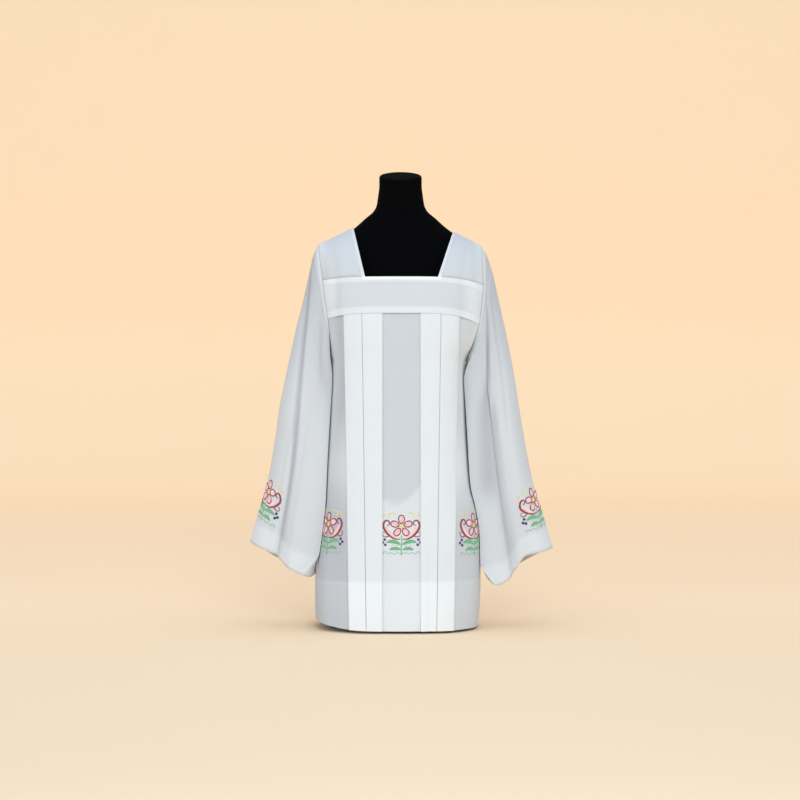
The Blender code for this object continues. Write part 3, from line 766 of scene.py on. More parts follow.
def sleeve_grid(side, panels):
    """A sleeve's middle surface, its outward normals, each column's share round it and its troughs' painted
    shade.
    """
    edge, normals, off, run = armhole(side, panels)
    shares = shares_round(edge)
    cuff = cuff_points(side, shares)
    lean = cuff - edge
    lean -= (lean * run).sum(axis=1)[:, None] * run
    lean /= np.linalg.norm(lean, axis=1)[:, None]
    folded = np.clip(-(lean * off).sum(axis=1), 0, 1)[:, None]
    tilt = 1 - np.abs((lean * off).sum(axis=1))[:, None]
    clear = MOUTH_SEAMS * SEAM + MOUTH_WALLS * SOLID_WALL * tilt
    mouth = edge + off * clear + normals * (SOLID_WALL + MOUTH_OUT) * folded
    near_outer = np.clip(np.cos(2 * np.pi * shares), 0, 1)
    beside_body = smooth(shares, *BESIDE_ROUND)
    column = "left" if side == LEFT else "right"
    downs = [row.down for row in SAGS]
    rows = []
    for down in SLEEVE_ROWS:
        point = mouth + (cuff - mouth) * down
        point[:, 0] += side * near_outer * smooth(down, downs, [getattr(row, column) for row in SAGS])
        widest = WRAP * np.array([body(z, column) for z in point[:, 2]])
        beside = np.maximum(body_side(side, point), widest) + BESIDE
        along = beside_body * smooth(down, *BESIDE_DOWN)
        point[:, 0] += along * (side * beside - point[:, 0])
        rows.append(point)
    grid = np.array(rows)
    shade = press_troughs(side, grid, shares)
    for i, down in enumerate(SLEEVE_ROWS):
        beside = body_side(side, grid[i]) + BESIDE
        inside = np.maximum(beside - side * grid[i, :, 0], 0) * min(1, down * 9)
        grid[i, :, 0] += side * inside
    return grid, outward_normals(grid), shares, shade


def sleeve(side, panels):
    """The sleeve's outer, inner and middle points, with a doubled hem at the cuff."""
    thin = props().cloth_wall * 1000
    grid, normal, shares, shade = sleeve_grid(side, panels)
    length = np.linalg.norm(np.diff(grid, axis=0), axis=2).mean(axis=1)
    from_cuff = np.r_[0, np.cumsum(length[::-1])][::-1]
    doubled = HEM_LIFT * (1 - step(props().cuff_hem - 1.5, props().cuff_hem + 1.5, from_cuff))[:, None, None]
    return [grid + normal * (thin / 2 + doubled), grid - normal * thin / 2, grid], shares, from_cuff, shade


# The neck band's rounded section: shares across it and the height over the panels at each, in millimetres
BAND_SECTION = ((0, 0.45), (0.06, 0.8), (0.25, 1.0), (0.5, 1.0), (0.75, 1.0), (0.94, 0.8), (1, 0.45))


def neck_band(panels):
    """The folded band round the neck, laid on the panels: its outer, inner and middle points."""
    wide = YOKE_ACROSS.index(NECK_HALF)
    step_out = YOKE_ACROSS.index(NECK_HALF + BAND) - wide
    middle = len(YOKE_ACROSS) + len(SIDE_SHARES) - 1
    stations = []

    def panel_points(kind, which, places):
        """Adds a panel's points and normals at these places, each on its edge and below it."""
        outer, inner, _ = panels[kind, which]
        normal = outer - inner
        normal = normal / np.linalg.norm(normal, axis=2)[:, :, None]
        for edge, below in places:
            stations.append([(outer[e], normal[e]) for e in (edge, below)])

    def yoke_places(steps):
        """The rows and columns of a yoke under the band, mitred at the corners."""
        places = []
        for k in steps:
            outward = step_out * int(np.sign(k)) if abs(k) == wide else 0
            places.append(((-1, middle + k), (-4, middle + k + outward)))
        return places

    panel_points("yoke", FRONT, yoke_places(range(-wide, wide + 1)))
    rows = len(panels["shoulder", LEFT][2])
    panel_points("shoulder", LEFT, [((row, 0), (row, step_out)) for row in range(rows)])
    panel_points("yoke", BACK, yoke_places(range(wide, -wide - 1, -1)))
    panel_points("shoulder", RIGHT, [((row, -1), (row, -1 - step_out)) for row in range(rows - 1, -1, -1)])
    ends = np.array([[point + normal * SEAM for point, normal in station] for station in stations])
    normals = np.array([[normal for _, normal in station] for station in stations])
    rows = []
    for share, height in BAND_SECTION:
        base = ends[:, 0] * (1 - share) + ends[:, 1] * share
        normal = normals[:, 0] * (1 - share) + normals[:, 1] * share
        normal /= np.linalg.norm(normal, axis=1)[:, None]
        rows.append((base + normal * height, base, base + normal * height / 2))
    return [np.array([row[i] for row in rows]) for i in range(3)]


def grid_object(name, outer, inner, closed_rows=False, **values):
    """A closed shell between two grids in millimetres, with a UV map in metres and a value at each point."""
    rows, columns = outer.shape[:2]
    points = np.concatenate([outer.reshape(-1, 3), inner.reshape(-1, 3)]) / 1000
    n = rows * columns
    last = columns if closed_rows else columns - 1
    i, j = np.meshgrid(np.arange(rows - 1), np.arange(last), indexing="ij")
    i, j = i.ravel(), j.ravel()
    k = (j + 1) % columns
    a, b, c, d = i * columns + j, i * columns + k, (i + 1) * columns + k, (i + 1) * columns + j
    faces = [np.stack([a, b, c, d], 1), n + np.stack([d, c, b, a], 1)]
    j = np.arange(last)
    k = (j + 1) % columns
    top = (rows - 1) * columns
    faces += [np.stack([k, j, n + j, n + k], 1), np.stack([top + j, top + k, n + top + k, n + top + j], 1)]
    if not closed_rows:
        a = np.arange(rows - 1) * columns
        d = a + columns
        b, c = a + columns - 1, d + columns - 1
        faces += [np.stack([a, d, n + d, n + a], 1), np.stack([c, b, n + b, n + c], 1)]
    faces = np.concatenate(faces)
    p = points[faces]
    volume = (np.cross(p[:, 0], p[:, 1]) * p[:, 2] + np.cross(p[:, 0], p[:, 2]) * p[:, 3]).sum()
    if volume < 0:
        faces = faces[:, ::-1]
    mesh = bpy.data.meshes.new(name)
    mesh.from_pydata(points.tolist(), [], faces.tolist())
    step_u = np.linalg.norm(np.diff(outer, axis=1), axis=2).mean(axis=0)
    step_v = np.linalg.norm(np.diff(outer, axis=0), axis=2).mean(axis=1)
    u = np.r_[0, np.cumsum(step_u)] / 1000
    v = np.r_[0, np.cumsum(step_v)] / 1000
    grid_uv = np.stack(np.meshgrid(u, v), axis=-1).reshape(-1, 2)
    vertex_uv = np.concatenate([grid_uv, grid_uv])
    loops = np.array([loop.vertex_index for loop in mesh.loops])
    layer = mesh.uv_layers.new(name="cut")
    layer.data.foreach_set("uv", vertex_uv[loops].ravel().astype(np.float32))
    for key, value in values.items():
        attribute = mesh.attributes.new(key, "FLOAT", "POINT")
        flat = np.broadcast_to(value, (rows, columns)).reshape(-1)
        attribute.data.foreach_set("value", np.concatenate([flat, flat]).astype(np.float32))
    mesh.shade_smooth()
    mesh.update()
    item = bpy.data.objects.new(name, mesh)
    bpy.context.scene.collection.objects.link(item)
    return item


def add_node(tree, kind, place, **settings):
    """A new node of a tree, with its settings."""
    node = tree.nodes.new(kind)
    node.location = place
    for key, value in settings.items():
        setattr(node, key, value)
    return node


def weave_group():
    """A shader group: a plain weave's height, with slubs, and its faint shade, from a UV map in metres."""
    if "plain weave" in bpy.data.node_groups:
        return bpy.data.node_groups["plain weave"]
    tree = bpy.data.node_groups.new("plain weave", "ShaderNodeTree")
    sockets = tree.interface
    sockets.new_socket("Cut", in_out="INPUT", socket_type="NodeSocketVector")
    yarns = sockets.new_socket("Yarns per metre", in_out="INPUT", socket_type="NodeSocketFloat")
    yarns.default_value = 2400
    sockets.new_socket("Height", in_out="OUTPUT", socket_type="NodeSocketFloat")
    sockets.new_socket("Shade", in_out="OUTPUT", socket_type="NodeSocketFloat")
    enter = add_node(tree, "NodeGroupInput", (-900, 0))
    leave = add_node(tree, "NodeGroupOutput", (700, 0))
    scale = add_node(tree, "ShaderNodeVectorMath", (-700, 0), operation="SCALE")
    tree.links.new(enter.outputs["Cut"], scale.inputs[0])
    tree.links.new(enter.outputs["Yarns per metre"], scale.inputs["Scale"])
    split = add_node(tree, "ShaderNodeSeparateXYZ", (-500, 0))
    tree.links.new(scale.outputs[0], split.inputs[0])
    waves = []
    for i, axis in enumerate("XY"):
        sine = add_node(tree, "ShaderNodeMath", (-300, -150 * i), operation="SINE")
        turn = add_node(tree, "ShaderNodeMath", (-400, -150 * i), operation="MULTIPLY")
        turn.inputs[1].default_value = math.pi
        tree.links.new(split.outputs[axis], turn.inputs[0])
        tree.links.new(turn.outputs[0], sine.inputs[0])
        waves.append(sine)
    cross = add_node(tree, "ShaderNodeMath", (-100, 0), operation="MULTIPLY")
    tree.links.new(waves[0].outputs[0], cross.inputs[0])
    tree.links.new(waves[1].outputs[0], cross.inputs[1])
    slub = add_node(tree, "ShaderNodeTexNoise", (-500, -350))
    slub.inputs["Scale"].default_value = 900
    slub.inputs["Detail"].default_value = 3
    stretch = add_node(tree, "ShaderNodeVectorMath", (-700, -350), operation="MULTIPLY")
    stretch.inputs[1].default_value = (0.12, 1.0, 1.0)
    tree.links.new(enter.outputs["Cut"], stretch.inputs[0])
    tree.links.new(stretch.outputs[0], slub.inputs["Vector"])
    total = add_node(tree, "ShaderNodeMath", (150, 0), operation="MULTIPLY_ADD")
    total.inputs[1].default_value = 0.6
    tree.links.new(cross.outputs[0], total.inputs[0])
    tree.links.new(slub.outputs["Fac"], total.inputs[2])
    tree.links.new(total.outputs[0], leave.inputs["Height"])
    tree.links.new(slub.outputs["Fac"], leave.inputs["Shade"])
    return tree


def soft_shade_group():
    """A shader group: broad, faint light and dark patches, as on a large pressed cloth."""
    if "soft shade" in bpy.data.node_groups:
        return bpy.data.node_groups["soft shade"]
    tree = bpy.data.node_groups.new("soft shade", "ShaderNodeTree")
    tree.interface.new_socket("Place", in_out="INPUT", socket_type="NodeSocketVector")
    size = tree.interface.new_socket("Size", in_out="INPUT", socket_type="NodeSocketFloat")
    size.default_value = 9
    tree.interface.new_socket("Value", in_out="OUTPUT", socket_type="NodeSocketFloat")
    enter = add_node(tree, "NodeGroupInput", (-500, 0))
    noise = add_node(tree, "ShaderNodeTexNoise", (-250, 0))
    noise.inputs["Detail"].default_value = 2
    leave = add_node(tree, "NodeGroupOutput", (0, 0))
    tree.links.new(enter.outputs["Place"], noise.inputs["Vector"])
    tree.links.new(enter.outputs["Size"], noise.inputs["Scale"])
    tree.links.new(noise.outputs["Fac"], leave.inputs["Value"])
    return tree


def new_material(name, roughness, scale):
    """A new material, with its tree, its shader and soft patches in object space at a scale."""
    material = bpy.data.materials.new(name)
    material.use_nodes = True
    tree = material.node_tree
    shader = tree.nodes["Principled BSDF"]
    shader.inputs["Roughness"].default_value = roughness
    place = add_node(tree, "ShaderNodeTexCoord", (-1300, -450))
    patches = add_node(tree, "ShaderNodeGroup", (-1050, -450), node_tree=soft_shade_group())
    patches.inputs["Size"].default_value = scale
    tree.links.new(place.outputs["Object"], patches.inputs["Place"])
    return material, tree, shader, patches


def mix_node(tree, first, second, factor):
    """A node that mixes two colours by a factor."""
    mix = add_node(tree, "ShaderNodeMix", (-750, 200), data_type="RGBA")
    mix.inputs["A"].default_value = (*first, 1)
    mix.inputs["B"].default_value = (*second, 1)
    tree.links.new(factor, mix.inputs["Factor"])
    return mix


def bump_node(tree, shader, height, strength, distance):
    """Raises a shader's surface by a height, a distance in metres deep."""
    bump = add_node(tree, "ShaderNodeBump", (-350, -300))
    bump.inputs["Strength"].default_value = strength
    bump.inputs["Distance"].default_value = distance
    tree.links.new(height, bump.inputs["Height"])
    tree.links.new(bump.outputs[0], shader.inputs["Normal"])


def range_node(tree, value, place, **ends):
    """A node that maps a value from one range to another."""
    node = add_node(tree, "ShaderNodeMapRange", place)
    for name, end in ends.items():
        node.inputs[name.replace("_", " ").title()].default_value = end
    tree.links.new(value, node.inputs["Value"])
    return node


def cloth_material(name, white, veiled_and_shaded):
    """White plain-weave cloth that lets a dark form show grey through a single layer, and takes painted shade
    from the same grey.
    """
    if name in bpy.data.materials:
        return bpy.data.materials[name]
    material, tree, shader, patches = new_material(name, 0.88, 9)
    shader.inputs["Sheen Weight"].default_value = 0.08
    shader.inputs["Specular IOR Level"].default_value = 0.25
    cut = add_node(tree, "ShaderNodeUVMap", (-1300, 0), uv_map="cut")
    weave = add_node(tree, "ShaderNodeGroup", (-1050, -200), node_tree=weave_group())
    tree.links.new(cut.outputs["UV"], weave.inputs["Cut"])
    # The attribute mixes in the grey of the form showing through and the grey of painted shade
    veil = add_node(tree, "ShaderNodeAttribute", (-1050, 250), attribute_name="veil")
    mix = mix_node(tree, white, veiled_and_shaded, veil.outputs["Fac"])
    mix.clamp_factor = False
    fade = range_node(tree, patches.outputs["Value"], (-750, -100), to_min=0.97, to_max=1.02)
    slub = range_node(tree, weave.outputs["Shade"], (-750, -350), to_min=0.98, to_max=1.01)
    both = add_node(tree, "ShaderNodeMath", (-550, -200), operation="MULTIPLY")
    tree.links.new(fade.outputs[0], both.inputs[0])
    tree.links.new(slub.outputs[0], both.inputs[1])
    tone = add_node(tree, "ShaderNodeVectorMath", (-350, 100), operation="SCALE")
    tree.links.new(mix.outputs["Result"], tone.inputs[0])
    tree.links.new(both.outputs[0], tone.inputs["Scale"])
    tree.links.new(tone.outputs[0], shader.inputs["Base Color"])
    bump_node(tree, shader, weave.outputs["Height"], 0.25, 0.0002)
    return material


def thread_material(name, colour):
    """Smooth embroidery thread that varies a little from strand to strand."""
    material, tree, shader, patches = new_material(name, 0.45, 700)
    shader.inputs["Sheen Weight"].default_value = 0.15
    dark = [c * 0.82 for c in colour]
    light = [min(1, c * 1.12) for c in colour]
    mix = mix_node(tree, dark, light, patches.outputs["Value"])
    tree.links.new(mix.outputs["Result"], shader.inputs["Base Color"])
    return material


def plain_material(name, dark, light, roughness, scale, depth):
    """A finish whose colour and height vary with one noise in object space."""
    material, tree, shader, patches = new_material(name, roughness, scale)
    mix = mix_node(tree, dark, light, patches.outputs["Value"])
    tree.links.new(mix.outputs["Result"], shader.inputs["Base Color"])
    bump_node(tree, shader, patches.outputs["Value"], 0.4, depth)
    return material


# Where the floor is deeper toward the camera and where the backdrop is lit, in metres behind the middle
DEEPER_REACH = (-1.7, 0.5)
DEEPER_SHARE = 0.74
GLOW_REACH = (0.5, 6.4)
GLOW = 0.12


def backdrop_material(tint):
    """Paper of one even tone: deeper on the near floor, where more light falls, and lit a little behind."""
    material = plain_material("backdrop paper", tuple(c * 0.99 for c in tint), tint, 0.95, 3, 0.0001)
    tree = material.node_tree
    shader = tree.nodes["Principled BSDF"]
    colour = shader.inputs["Base Color"].links[0].from_socket
    place = add_node(tree, "ShaderNodeTexCoord", (-900, 400))
    split = add_node(tree, "ShaderNodeSeparateXYZ", (-700, 400))
    tree.links.new(place.outputs["Object"], split.inputs[0])
    along = split.outputs["Y"]
    near, far = DEEPER_REACH
    deeper = range_node(tree, along, (-500, 400), from_min=near, from_max=far, to_min=DEEPER_SHARE)
    tone = add_node(tree, "ShaderNodeVectorMath", (-200, 300), operation="SCALE")
    tree.links.new(colour, tone.inputs[0])
    tree.links.new(deeper.outputs[0], tone.inputs["Scale"])
    tree.links.new(tone.outputs[0], shader.inputs["Base Color"])
    near, far = GLOW_REACH
    glow = range_node(tree, along, (-500, 100), from_min=near, from_max=far, to_max=GLOW)
    tree.links.new(colour, shader.inputs["Emission Color"])
    tree.links.new(glow.outputs[0], shader.inputs["Emission Strength"])
    return material


# The grids that several steps share, each worked out once
BUILT = {}


def panels():
    """The cut panels' points, worked out once."""
    if "panels" not in BUILT:
        found = {("yoke", face): yoke(face) for face in (FRONT, BACK)}
        BUILT["skirts"] = {face: skirt(face) for face in (FRONT, BACK)}
        found.update({("skirt", face): BUILT["skirts"][face][0] for face in (FRONT, BACK)})
        found.update({("shoulder", side): shoulder(side) for side in (RIGHT, LEFT)})
        BUILT["panels"] = found
    return BUILT["panels"]


Patch = namedtuple("Patch", "points normals along up")


def patch(outer, inner, reference):
    """Part of a grid as a surface, with lengths along it from one column and up it from its first row."""
    normals = outer - inner
    normals = normals / np.linalg.norm(normals, axis=2)[:, :, None]
    gaps = np.linalg.norm(np.diff(outer, axis=1), axis=2)
    along = np.concatenate([np.zeros((len(outer), 1)), np.cumsum(gaps, axis=1)], axis=1)
    along -= along[:, reference][:, None]
    rise = np.linalg.norm(np.diff(outer[:, reference], axis=0), axis=1)
    return Patch(outer, normals, along, np.r_[0, np.cumsum(rise)])


def place_on(surface, u, v, lift):
    """The point and normal at lengths u along and v up a patch, lifted off it."""
    row = int(np.clip(np.searchsorted(surface.up, v) - 1, 0, len(surface.up) - 2))
    blend = (v - surface.up[row]) / (surface.up[row + 1] - surface.up[row])
    point, normal = np.zeros(3), np.zeros(3)
    for i, weight in ((row, 1 - blend), (row + 1, blend)):
        for axis in range(3):
            point[axis] += weight * np.interp(u, surface.along[i], surface.points[i, :, axis])
            normal[axis] += weight * np.interp(u, surface.along[i], surface.normals[i, :, axis])
    normal /= np.linalg.norm(normal)
    return point + normal * lift, normal


def thread_group():
    """Geometry nodes: short threads set along or across every line of a mesh, as plain mesh."""
    if "threads" in bpy.data.node_groups:
        return bpy.data.node_groups["threads"]
    tree = bpy.data.node_groups.new("threads", "GeometryNodeTree")
    sockets = tree.interface
    sockets.new_socket("Geometry", in_out="INPUT", socket_type="NodeSocketGeometry")
    sockets.new_socket("Spacing", in_out="INPUT", socket_type="NodeSocketFloat")
    sockets.new_socket("Radius", in_out="INPUT", socket_type="NodeSocketFloat")
    sockets.new_socket("Along the line", in_out="INPUT", socket_type="NodeSocketBool")
    sockets.new_socket("Material", in_out="INPUT", socket_type="NodeSocketMaterial")
    sockets.new_socket("Geometry", in_out="OUTPUT", socket_type="NodeSocketGeometry")
    enter = add_node(tree, "NodeGroupInput", (-1200, 0))
    leave = add_node(tree, "NodeGroupOutput", (900, 0))
    curve = add_node(tree, "GeometryNodeMeshToCurve", (-950, 100))
    resample = add_node(tree, "GeometryNodeResampleCurve", (-750, 100), mode="LENGTH")
    out = add_node(tree, "GeometryNodeInputNamedAttribute", (-950, -150), data_type="FLOAT_VECTOR")
    out.inputs["Name"].default_value = "out"
    half = add_node(tree, "GeometryNodeInputNamedAttribute", (-950, -350), data_type="FLOAT")
    half.inputs["Name"].default_value = "half"
    tangent = add_node(tree, "GeometryNodeInputTangent", (-950, -500))
    cross = add_node(tree, "ShaderNodeVectorMath", (-700, -200), operation="CROSS_PRODUCT")
    axis = add_node(tree, "GeometryNodeSwitch", (-450, -200), input_type="VECTOR")
    turn = add_node(tree, "FunctionNodeAxesToRotation", (-200, -200), primary_axis="Z", secondary_axis="X")
    double = add_node(tree, "ShaderNodeMath", (-450, -400), operation="MULTIPLY")
    double.inputs[1].default_value = 2.0
    size = add_node(tree, "ShaderNodeCombineXYZ", (-200, -400))
    size.inputs[0].default_value = 1.0
    size.inputs[1].default_value = 1.0
    thread = add_node(tree, "GeometryNodeMeshCylinder", (-200, 250))
    thread.inputs["Vertices"].default_value = 6
    thread.inputs["Depth"].default_value = 1.0
    place = add_node(tree, "GeometryNodeInstanceOnPoints", (150, 50))
    whole = add_node(tree, "GeometryNodeRealizeInstances", (400, 50))
    paint = add_node(tree, "GeometryNodeSetMaterial", (650, 50))
    for source, name, target, socket in (
        (enter, "Geometry", curve, "Mesh"),
        (curve, "Curve", resample, "Curve"),
        (enter, "Spacing", resample, "Length"),
        (out, "Attribute", cross, 0),
        (tangent, "Tangent", cross, 1),
        (enter, "Along the line", axis, "Switch"),
        (cross, 0, axis, "False"),
        (tangent, "Tangent", axis, "True"),
        (axis, "Output", turn, "Primary Axis"),
        (out, "Attribute", turn, "Secondary Axis"),
        (half, "Attribute", double, 0),
        (double, 0, size, 2),
        (enter, "Radius", thread, "Radius"),
        (resample, "Curve", place, "Points"),
        (thread, "Mesh", place, "Instance"),
        (turn, "Rotation", place, "Rotation"),
        (size, 0, place, "Scale"),
        (place, "Instances", whole, "Geometry"),
        (whole, "Geometry", paint, "Geometry"),
        (enter, "Material", paint, "Material"),
        (paint, "Geometry", leave, "Geometry"),
    ):
        tree.links.new(source.outputs[name], target.inputs[socket])
    return tree


Line = namedtuple("Line", "points normals halves closed")


def thread_piece(name, lines, spacing, radius, along, material):
    """One mesh of threads set on every line by the node group."""
    points, edges, outs, halves = [], [], [], []
    for line in lines:
        first = len(points)
        points += (np.array(line.points) / 1000).tolist()
        outs.append(np.array(line.normals))
        halves.append(np.array(line.halves) / 1000)
        count = len(line.points)
        edges += [(first + i, first + i + 1) for i in range(count - 1)]
        if line.closed:
            edges.append((first + count - 1, first))
    guide = bpy.data.meshes.new(name + "_lines")
    guide.from_pydata(points, edges, [])
    guide.attributes.new("out", "FLOAT_VECTOR", "POINT").data.foreach_set(
        "vector", np.concatenate(outs).ravel().astype(np.float32)
    )
    guide.attributes.new("half", "FLOAT", "POINT").data.foreach_set(
        "value", np.concatenate(halves).astype(np.float32)
    )
    item = bpy.data.objects.new(name, guide)
    bpy.context.scene.collection.objects.link(item)
    modifier = item.modifiers.new("threads", "NODES")
    modifier.node_group = thread_group()
    values = {"Spacing": spacing, "Radius": radius, "Along the line": along, "Material": material}
    for socket in modifier.node_group.interface.items_tree:
        if socket.in_out == "INPUT" and socket.name in values:
            modifier[socket.identifier] = values[socket.name]
    graph = bpy.context.evaluated_depsgraph_get()
    mesh = bpy.data.meshes.new_from_object(item.evaluated_get(graph))
    item.modifiers.clear()
    item.data = mesh
    mesh.name = name
    bpy.data.meshes.remove(guide)
    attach(item, "root")


def finish_piece(item, node, material):
    """Gives a piece its material, and sets it in the place of one node of the solids."""
    item.data.materials.clear()
    item.data.materials.append(material)
    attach(item, "root")
    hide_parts(node)


def linear(colour):
    """An sRGB colour as the linear one that a shader's socket takes."""
    return tuple(c / 12.92 if c <= 0.04045 else ((c + 0.055) / 1.055) ** 2.4 for c in colour)


def surplice_cloth():
    """The white cloth of every panel."""
    return cloth_material("white weave", tuple(colours().cloth), tuple(colours().veiled_and_shaded))


class SurpliceSizes(bpy.types.PropertyGroup):
    cloth_wall: FloatProperty(
        name="Cloth wall", description="How thick each shell of cloth is drawn",
        default=0.0008, min=0.0003, max=0.0011, subtype="DISTANCE", unit="LENGTH",
    )
    hem_depth: FloatProperty(
        name="Hem depth", description="Height of the folded hem of the skirts, in millimetres", default=111.0,
    )
    cuff_hem: FloatProperty(
        name="Cuff hem", description="Depth of the folded hem of the sleeves, in millimetres", default=49.0,
    )
    stitch_length: FloatProperty(
        name="Stitch length", description="Length of one topstitch",
        default=0.0026, subtype="DISTANCE", unit="LENGTH",
    )
    stitch_gap: FloatProperty(
        name="Stitch spacing", description="Distance from one topstitch to the next",
        default=0.0034, subtype="DISTANCE", unit="LENGTH",
    )
    thread: FloatProperty(
        name="Thread", description="Width of the sewing thread",
        default=0.00045, subtype="DISTANCE", unit="LENGTH",
    )
    satin_gap: FloatProperty(
        name="Satin spacing", description="Distance between the embroidery's threads",
        default=0.0007, subtype="DISTANCE", unit="LENGTH",
    )
    camera_distance: FloatProperty(
        name="Camera distance", description="How far the camera stands in front of the middle",
        default=4.2, subtype="DISTANCE", unit="LENGTH",
    )


class SurpliceColours(bpy.types.PropertyGroup):
    cloth: FloatVectorProperty(
        name="Cloth", description="Colour of the cloth where it is doubled",
        default=linear((0.888, 0.902, 0.895)), size=3, subtype="COLOR", min=0, max=1,
    )
    # The grey of cloth over the form, and also the grey of painted shade on the sleeves and side panels
    veiled_and_shaded: FloatVectorProperty(
        name="Cloth over the form", description="Colour of one layer of cloth close to the dark form",
        default=linear((0.745, 0.757, 0.765)), size=3, subtype="COLOR", min=0, max=1,
    )
    form: FloatVectorProperty(
        name="Form cover", description="Colour of the dress form",
        default=(0.0012, 0.0012, 0.0014), size=3, subtype="COLOR", min=0, max=1,
    )
    backdrop: FloatVectorProperty(
        name="Backdrop", description="Colour of the floor and backdrop",
        default=linear((0.995, 0.885, 0.742)), size=3, subtype="COLOR", min=0, max=1,
    )


class SURPLICE_OT_panels(bpy.types.Operator):
    """Builds the yokes and the straps over the shoulders"""

    bl_idname = "surplice.panels"
    bl_label = "Yokes and straps"

    def execute(self, context):
        found = panels()
        for node, key in (("front_yoke", ("yoke", FRONT)), ("back_yoke", ("yoke", BACK))):
            outer, inner, middle = found[key]
            veil = YOKE_VEIL - OUTWARD_LOSS * step(*YOKE_OUTWARD, abs(middle[:, :, 0]))
            heights = np.array(yoke_heights(key[1]))
            top = heights[-1]
            doubled = 1 - step(YOKE_SEAM + 15, YOKE_SEAM + 17, heights) + step(top - 13, top - 12, heights)
            veil *= (1 - YOKE_FOLD_LOSS * np.clip(doubled, 0, 1))[:, None]
            item = grid_object(node + "_cloth", outer, inner, veil=veil)
            finish_piece(item, node, surplice_cloth())
        for node, side in (("shoulder_right", RIGHT), ("shoulder_left", LEFT)):
            outer, inner, middle = found["shoulder", side]
            veil = STRAP_VEIL - OUTWARD_LOSS * step(*STRAP_OUTWARD, abs(middle[:, :, 0]))
            item = grid_object(node + "_cloth", outer, inner, veil=veil)
            finish_piece(item, node, surplice_cloth())
        return {"FINISHED"}


class SURPLICE_OT_skirts(bpy.types.Operator):
    """Builds the pleated front and back below the yokes"""

    bl_idname = "surplice.skirts"
    bl_label = "Pleated skirts"

    def execute(self, context):
        panels()
        for node, face in (("front_skirt", FRONT), ("back_skirt", BACK)):
            (outer, inner, _), veil, _, _ = BUILT["skirts"][face]
            item = grid_object(node + "_cloth", outer, inner, veil=veil)
            finish_piece(item, node, surplice_cloth())
        return {"FINISHED"}


class SURPLICE_OT_sleeves(bpy.types.Operator):
    """Builds the wide sleeves"""

    bl_idname = "surplice.sleeves"
    bl_label = "Sleeves"

    def execute(self, context):
        for node, side in (("sleeve_right", RIGHT), ("sleeve_left", LEFT)):
            (outer, inner, _), shares, from_cuff, shade = sleeve(side, panels())
            BUILT[node] = (outer, inner, from_cuff)
            # The sleeves' grey is painted shade over all, at the head and in the troughs; the inner lines are
            # lighter as painted light against the shade beside the body, and the top seams and doubled cuffs
            # are lighter
            high = SLEEVE_TOP_SHADE * (1 - step(*SLEEVE_TOP_REACH, np.array(SLEEVE_ROWS)))[:, None]
            inner_line = 1 - SLEEVE_INNER_PAINTED_LIGHT * step(*SLEEVE_INNER_REACH, -np.cos(2 * np.pi * shares))
            from_top = from_cuff[0] - from_cuff
            allowance = SLEEVE_SEAM_LOSS * (1 - step(*SLEEVE_SEAM_REACH, from_top))[:, None]
            fold = props().cuff_hem
            hem_share = CUFF_SHARE + (1 - CUFF_SHARE) * step(fold - 4, fold + 3, from_cuff)[:, None]
            veil = hem_share * (SLEEVE_SHADE + high - allowance + shade) * inner_line
            item = grid_object(node + "_cloth", outer, inner, closed_rows=True, veil=veil)
            finish_piece(item, node, surplice_cloth())
        return {"FINISHED"}


class SURPLICE_OT_band(bpy.types.Operator):
    """Builds the band round the neck"""

    bl_idname = "surplice.band"
    bl_label = "Neck band"

    def execute(self, context):
        outer, inner, middle = neck_band(panels())
        BUILT["neck_band"] = (outer, inner)
        veil = BAND_VEIL * step(FRONT_TOP - BAND_REACH, FRONT_TOP + BAND_REACH, middle[:, :, 2])
        item = grid_object("neck_band_cloth", outer, inner, closed_rows=True, veil=veil)
        finish_piece(item, "neck_band", surplice_cloth())
        return {"FINISHED"}


def skirt_patch(face, part):
    """A skirt's middle panel, or one of its side panels from the pleat's edge outward."""
    (outer, inner, _), _, runs, _ = BUILT["skirts"][face]
    columns = [j for j, run in enumerate(runs) if run == (0 if part == 0 else len(RUNS))]
    if part == 0:
        return patch(outer[:, columns], inner[:, columns], len(columns) // 2)
    half = len(columns) // 2
    columns = columns[:half][::-1] if part == RIGHT else columns[half:]
    return patch(outer[:, columns], inner[:, columns], 0)


def sleeve_patch(side):
    """The outer half of a sleeve, with its outer line in the middle, from the cuff upward."""
    outer, inner = BUILT["sleeve_right" if side == RIGHT else "sleeve_left"][:2]
    reach = 22
    columns = [j % outer.shape[1] for j in range(-reach, reach + 1)]
    return patch(outer[::-1][:, columns], inner[::-1][:, columns], reach)


# One stroke of the sprig in millimetres from its middle, as a line with the satin's width at each point
Stroke = namedtuple("Stroke", "thread points widths closed")


def curve_points(marks, count):
    """A smooth curve through a few marks."""
    marks = np.array(marks, float)
    length = np.r_[0, np.cumsum(np.linalg.norm(np.diff(marks, axis=0), axis=1))]
    at = np.linspace(0, length[-1], count)
    before = np.clip(np.searchsorted(length, at, side="right") - 1, 0, len(marks) - 2)
    found = []
    for t, i in zip(at, before):
        p0, p1, p2, p3 = (marks[min(max(k, 0), len(marks) - 1)] for k in (i - 1, i, i + 1, i + 2))
        f = (t - length[i]) / (length[i + 1] - length[i])
        a = 2 * p1 + (p2 - p0) * f
        b = (2 * p0 - 5 * p1 + 4 * p2 - p3) * f * f
        c = (3 * p1 - p0 - 3 * p2 + p3) * f**3
        found.append((a + b + c) / 2)
    return [tuple(p) for p in found]


def swell(count, ends, middle):
    """Widths along a stroke that swells from its ends to its middle."""
    return [ends + (middle - ends) * math.sin(math.pi * i / (count - 1)) ** 0.8 for i in range(count)]


# The sprig's flower: its middle, its petals and the points round each
HEART = (0, 15)
PETALS = 5
PETAL_POINTS = 28

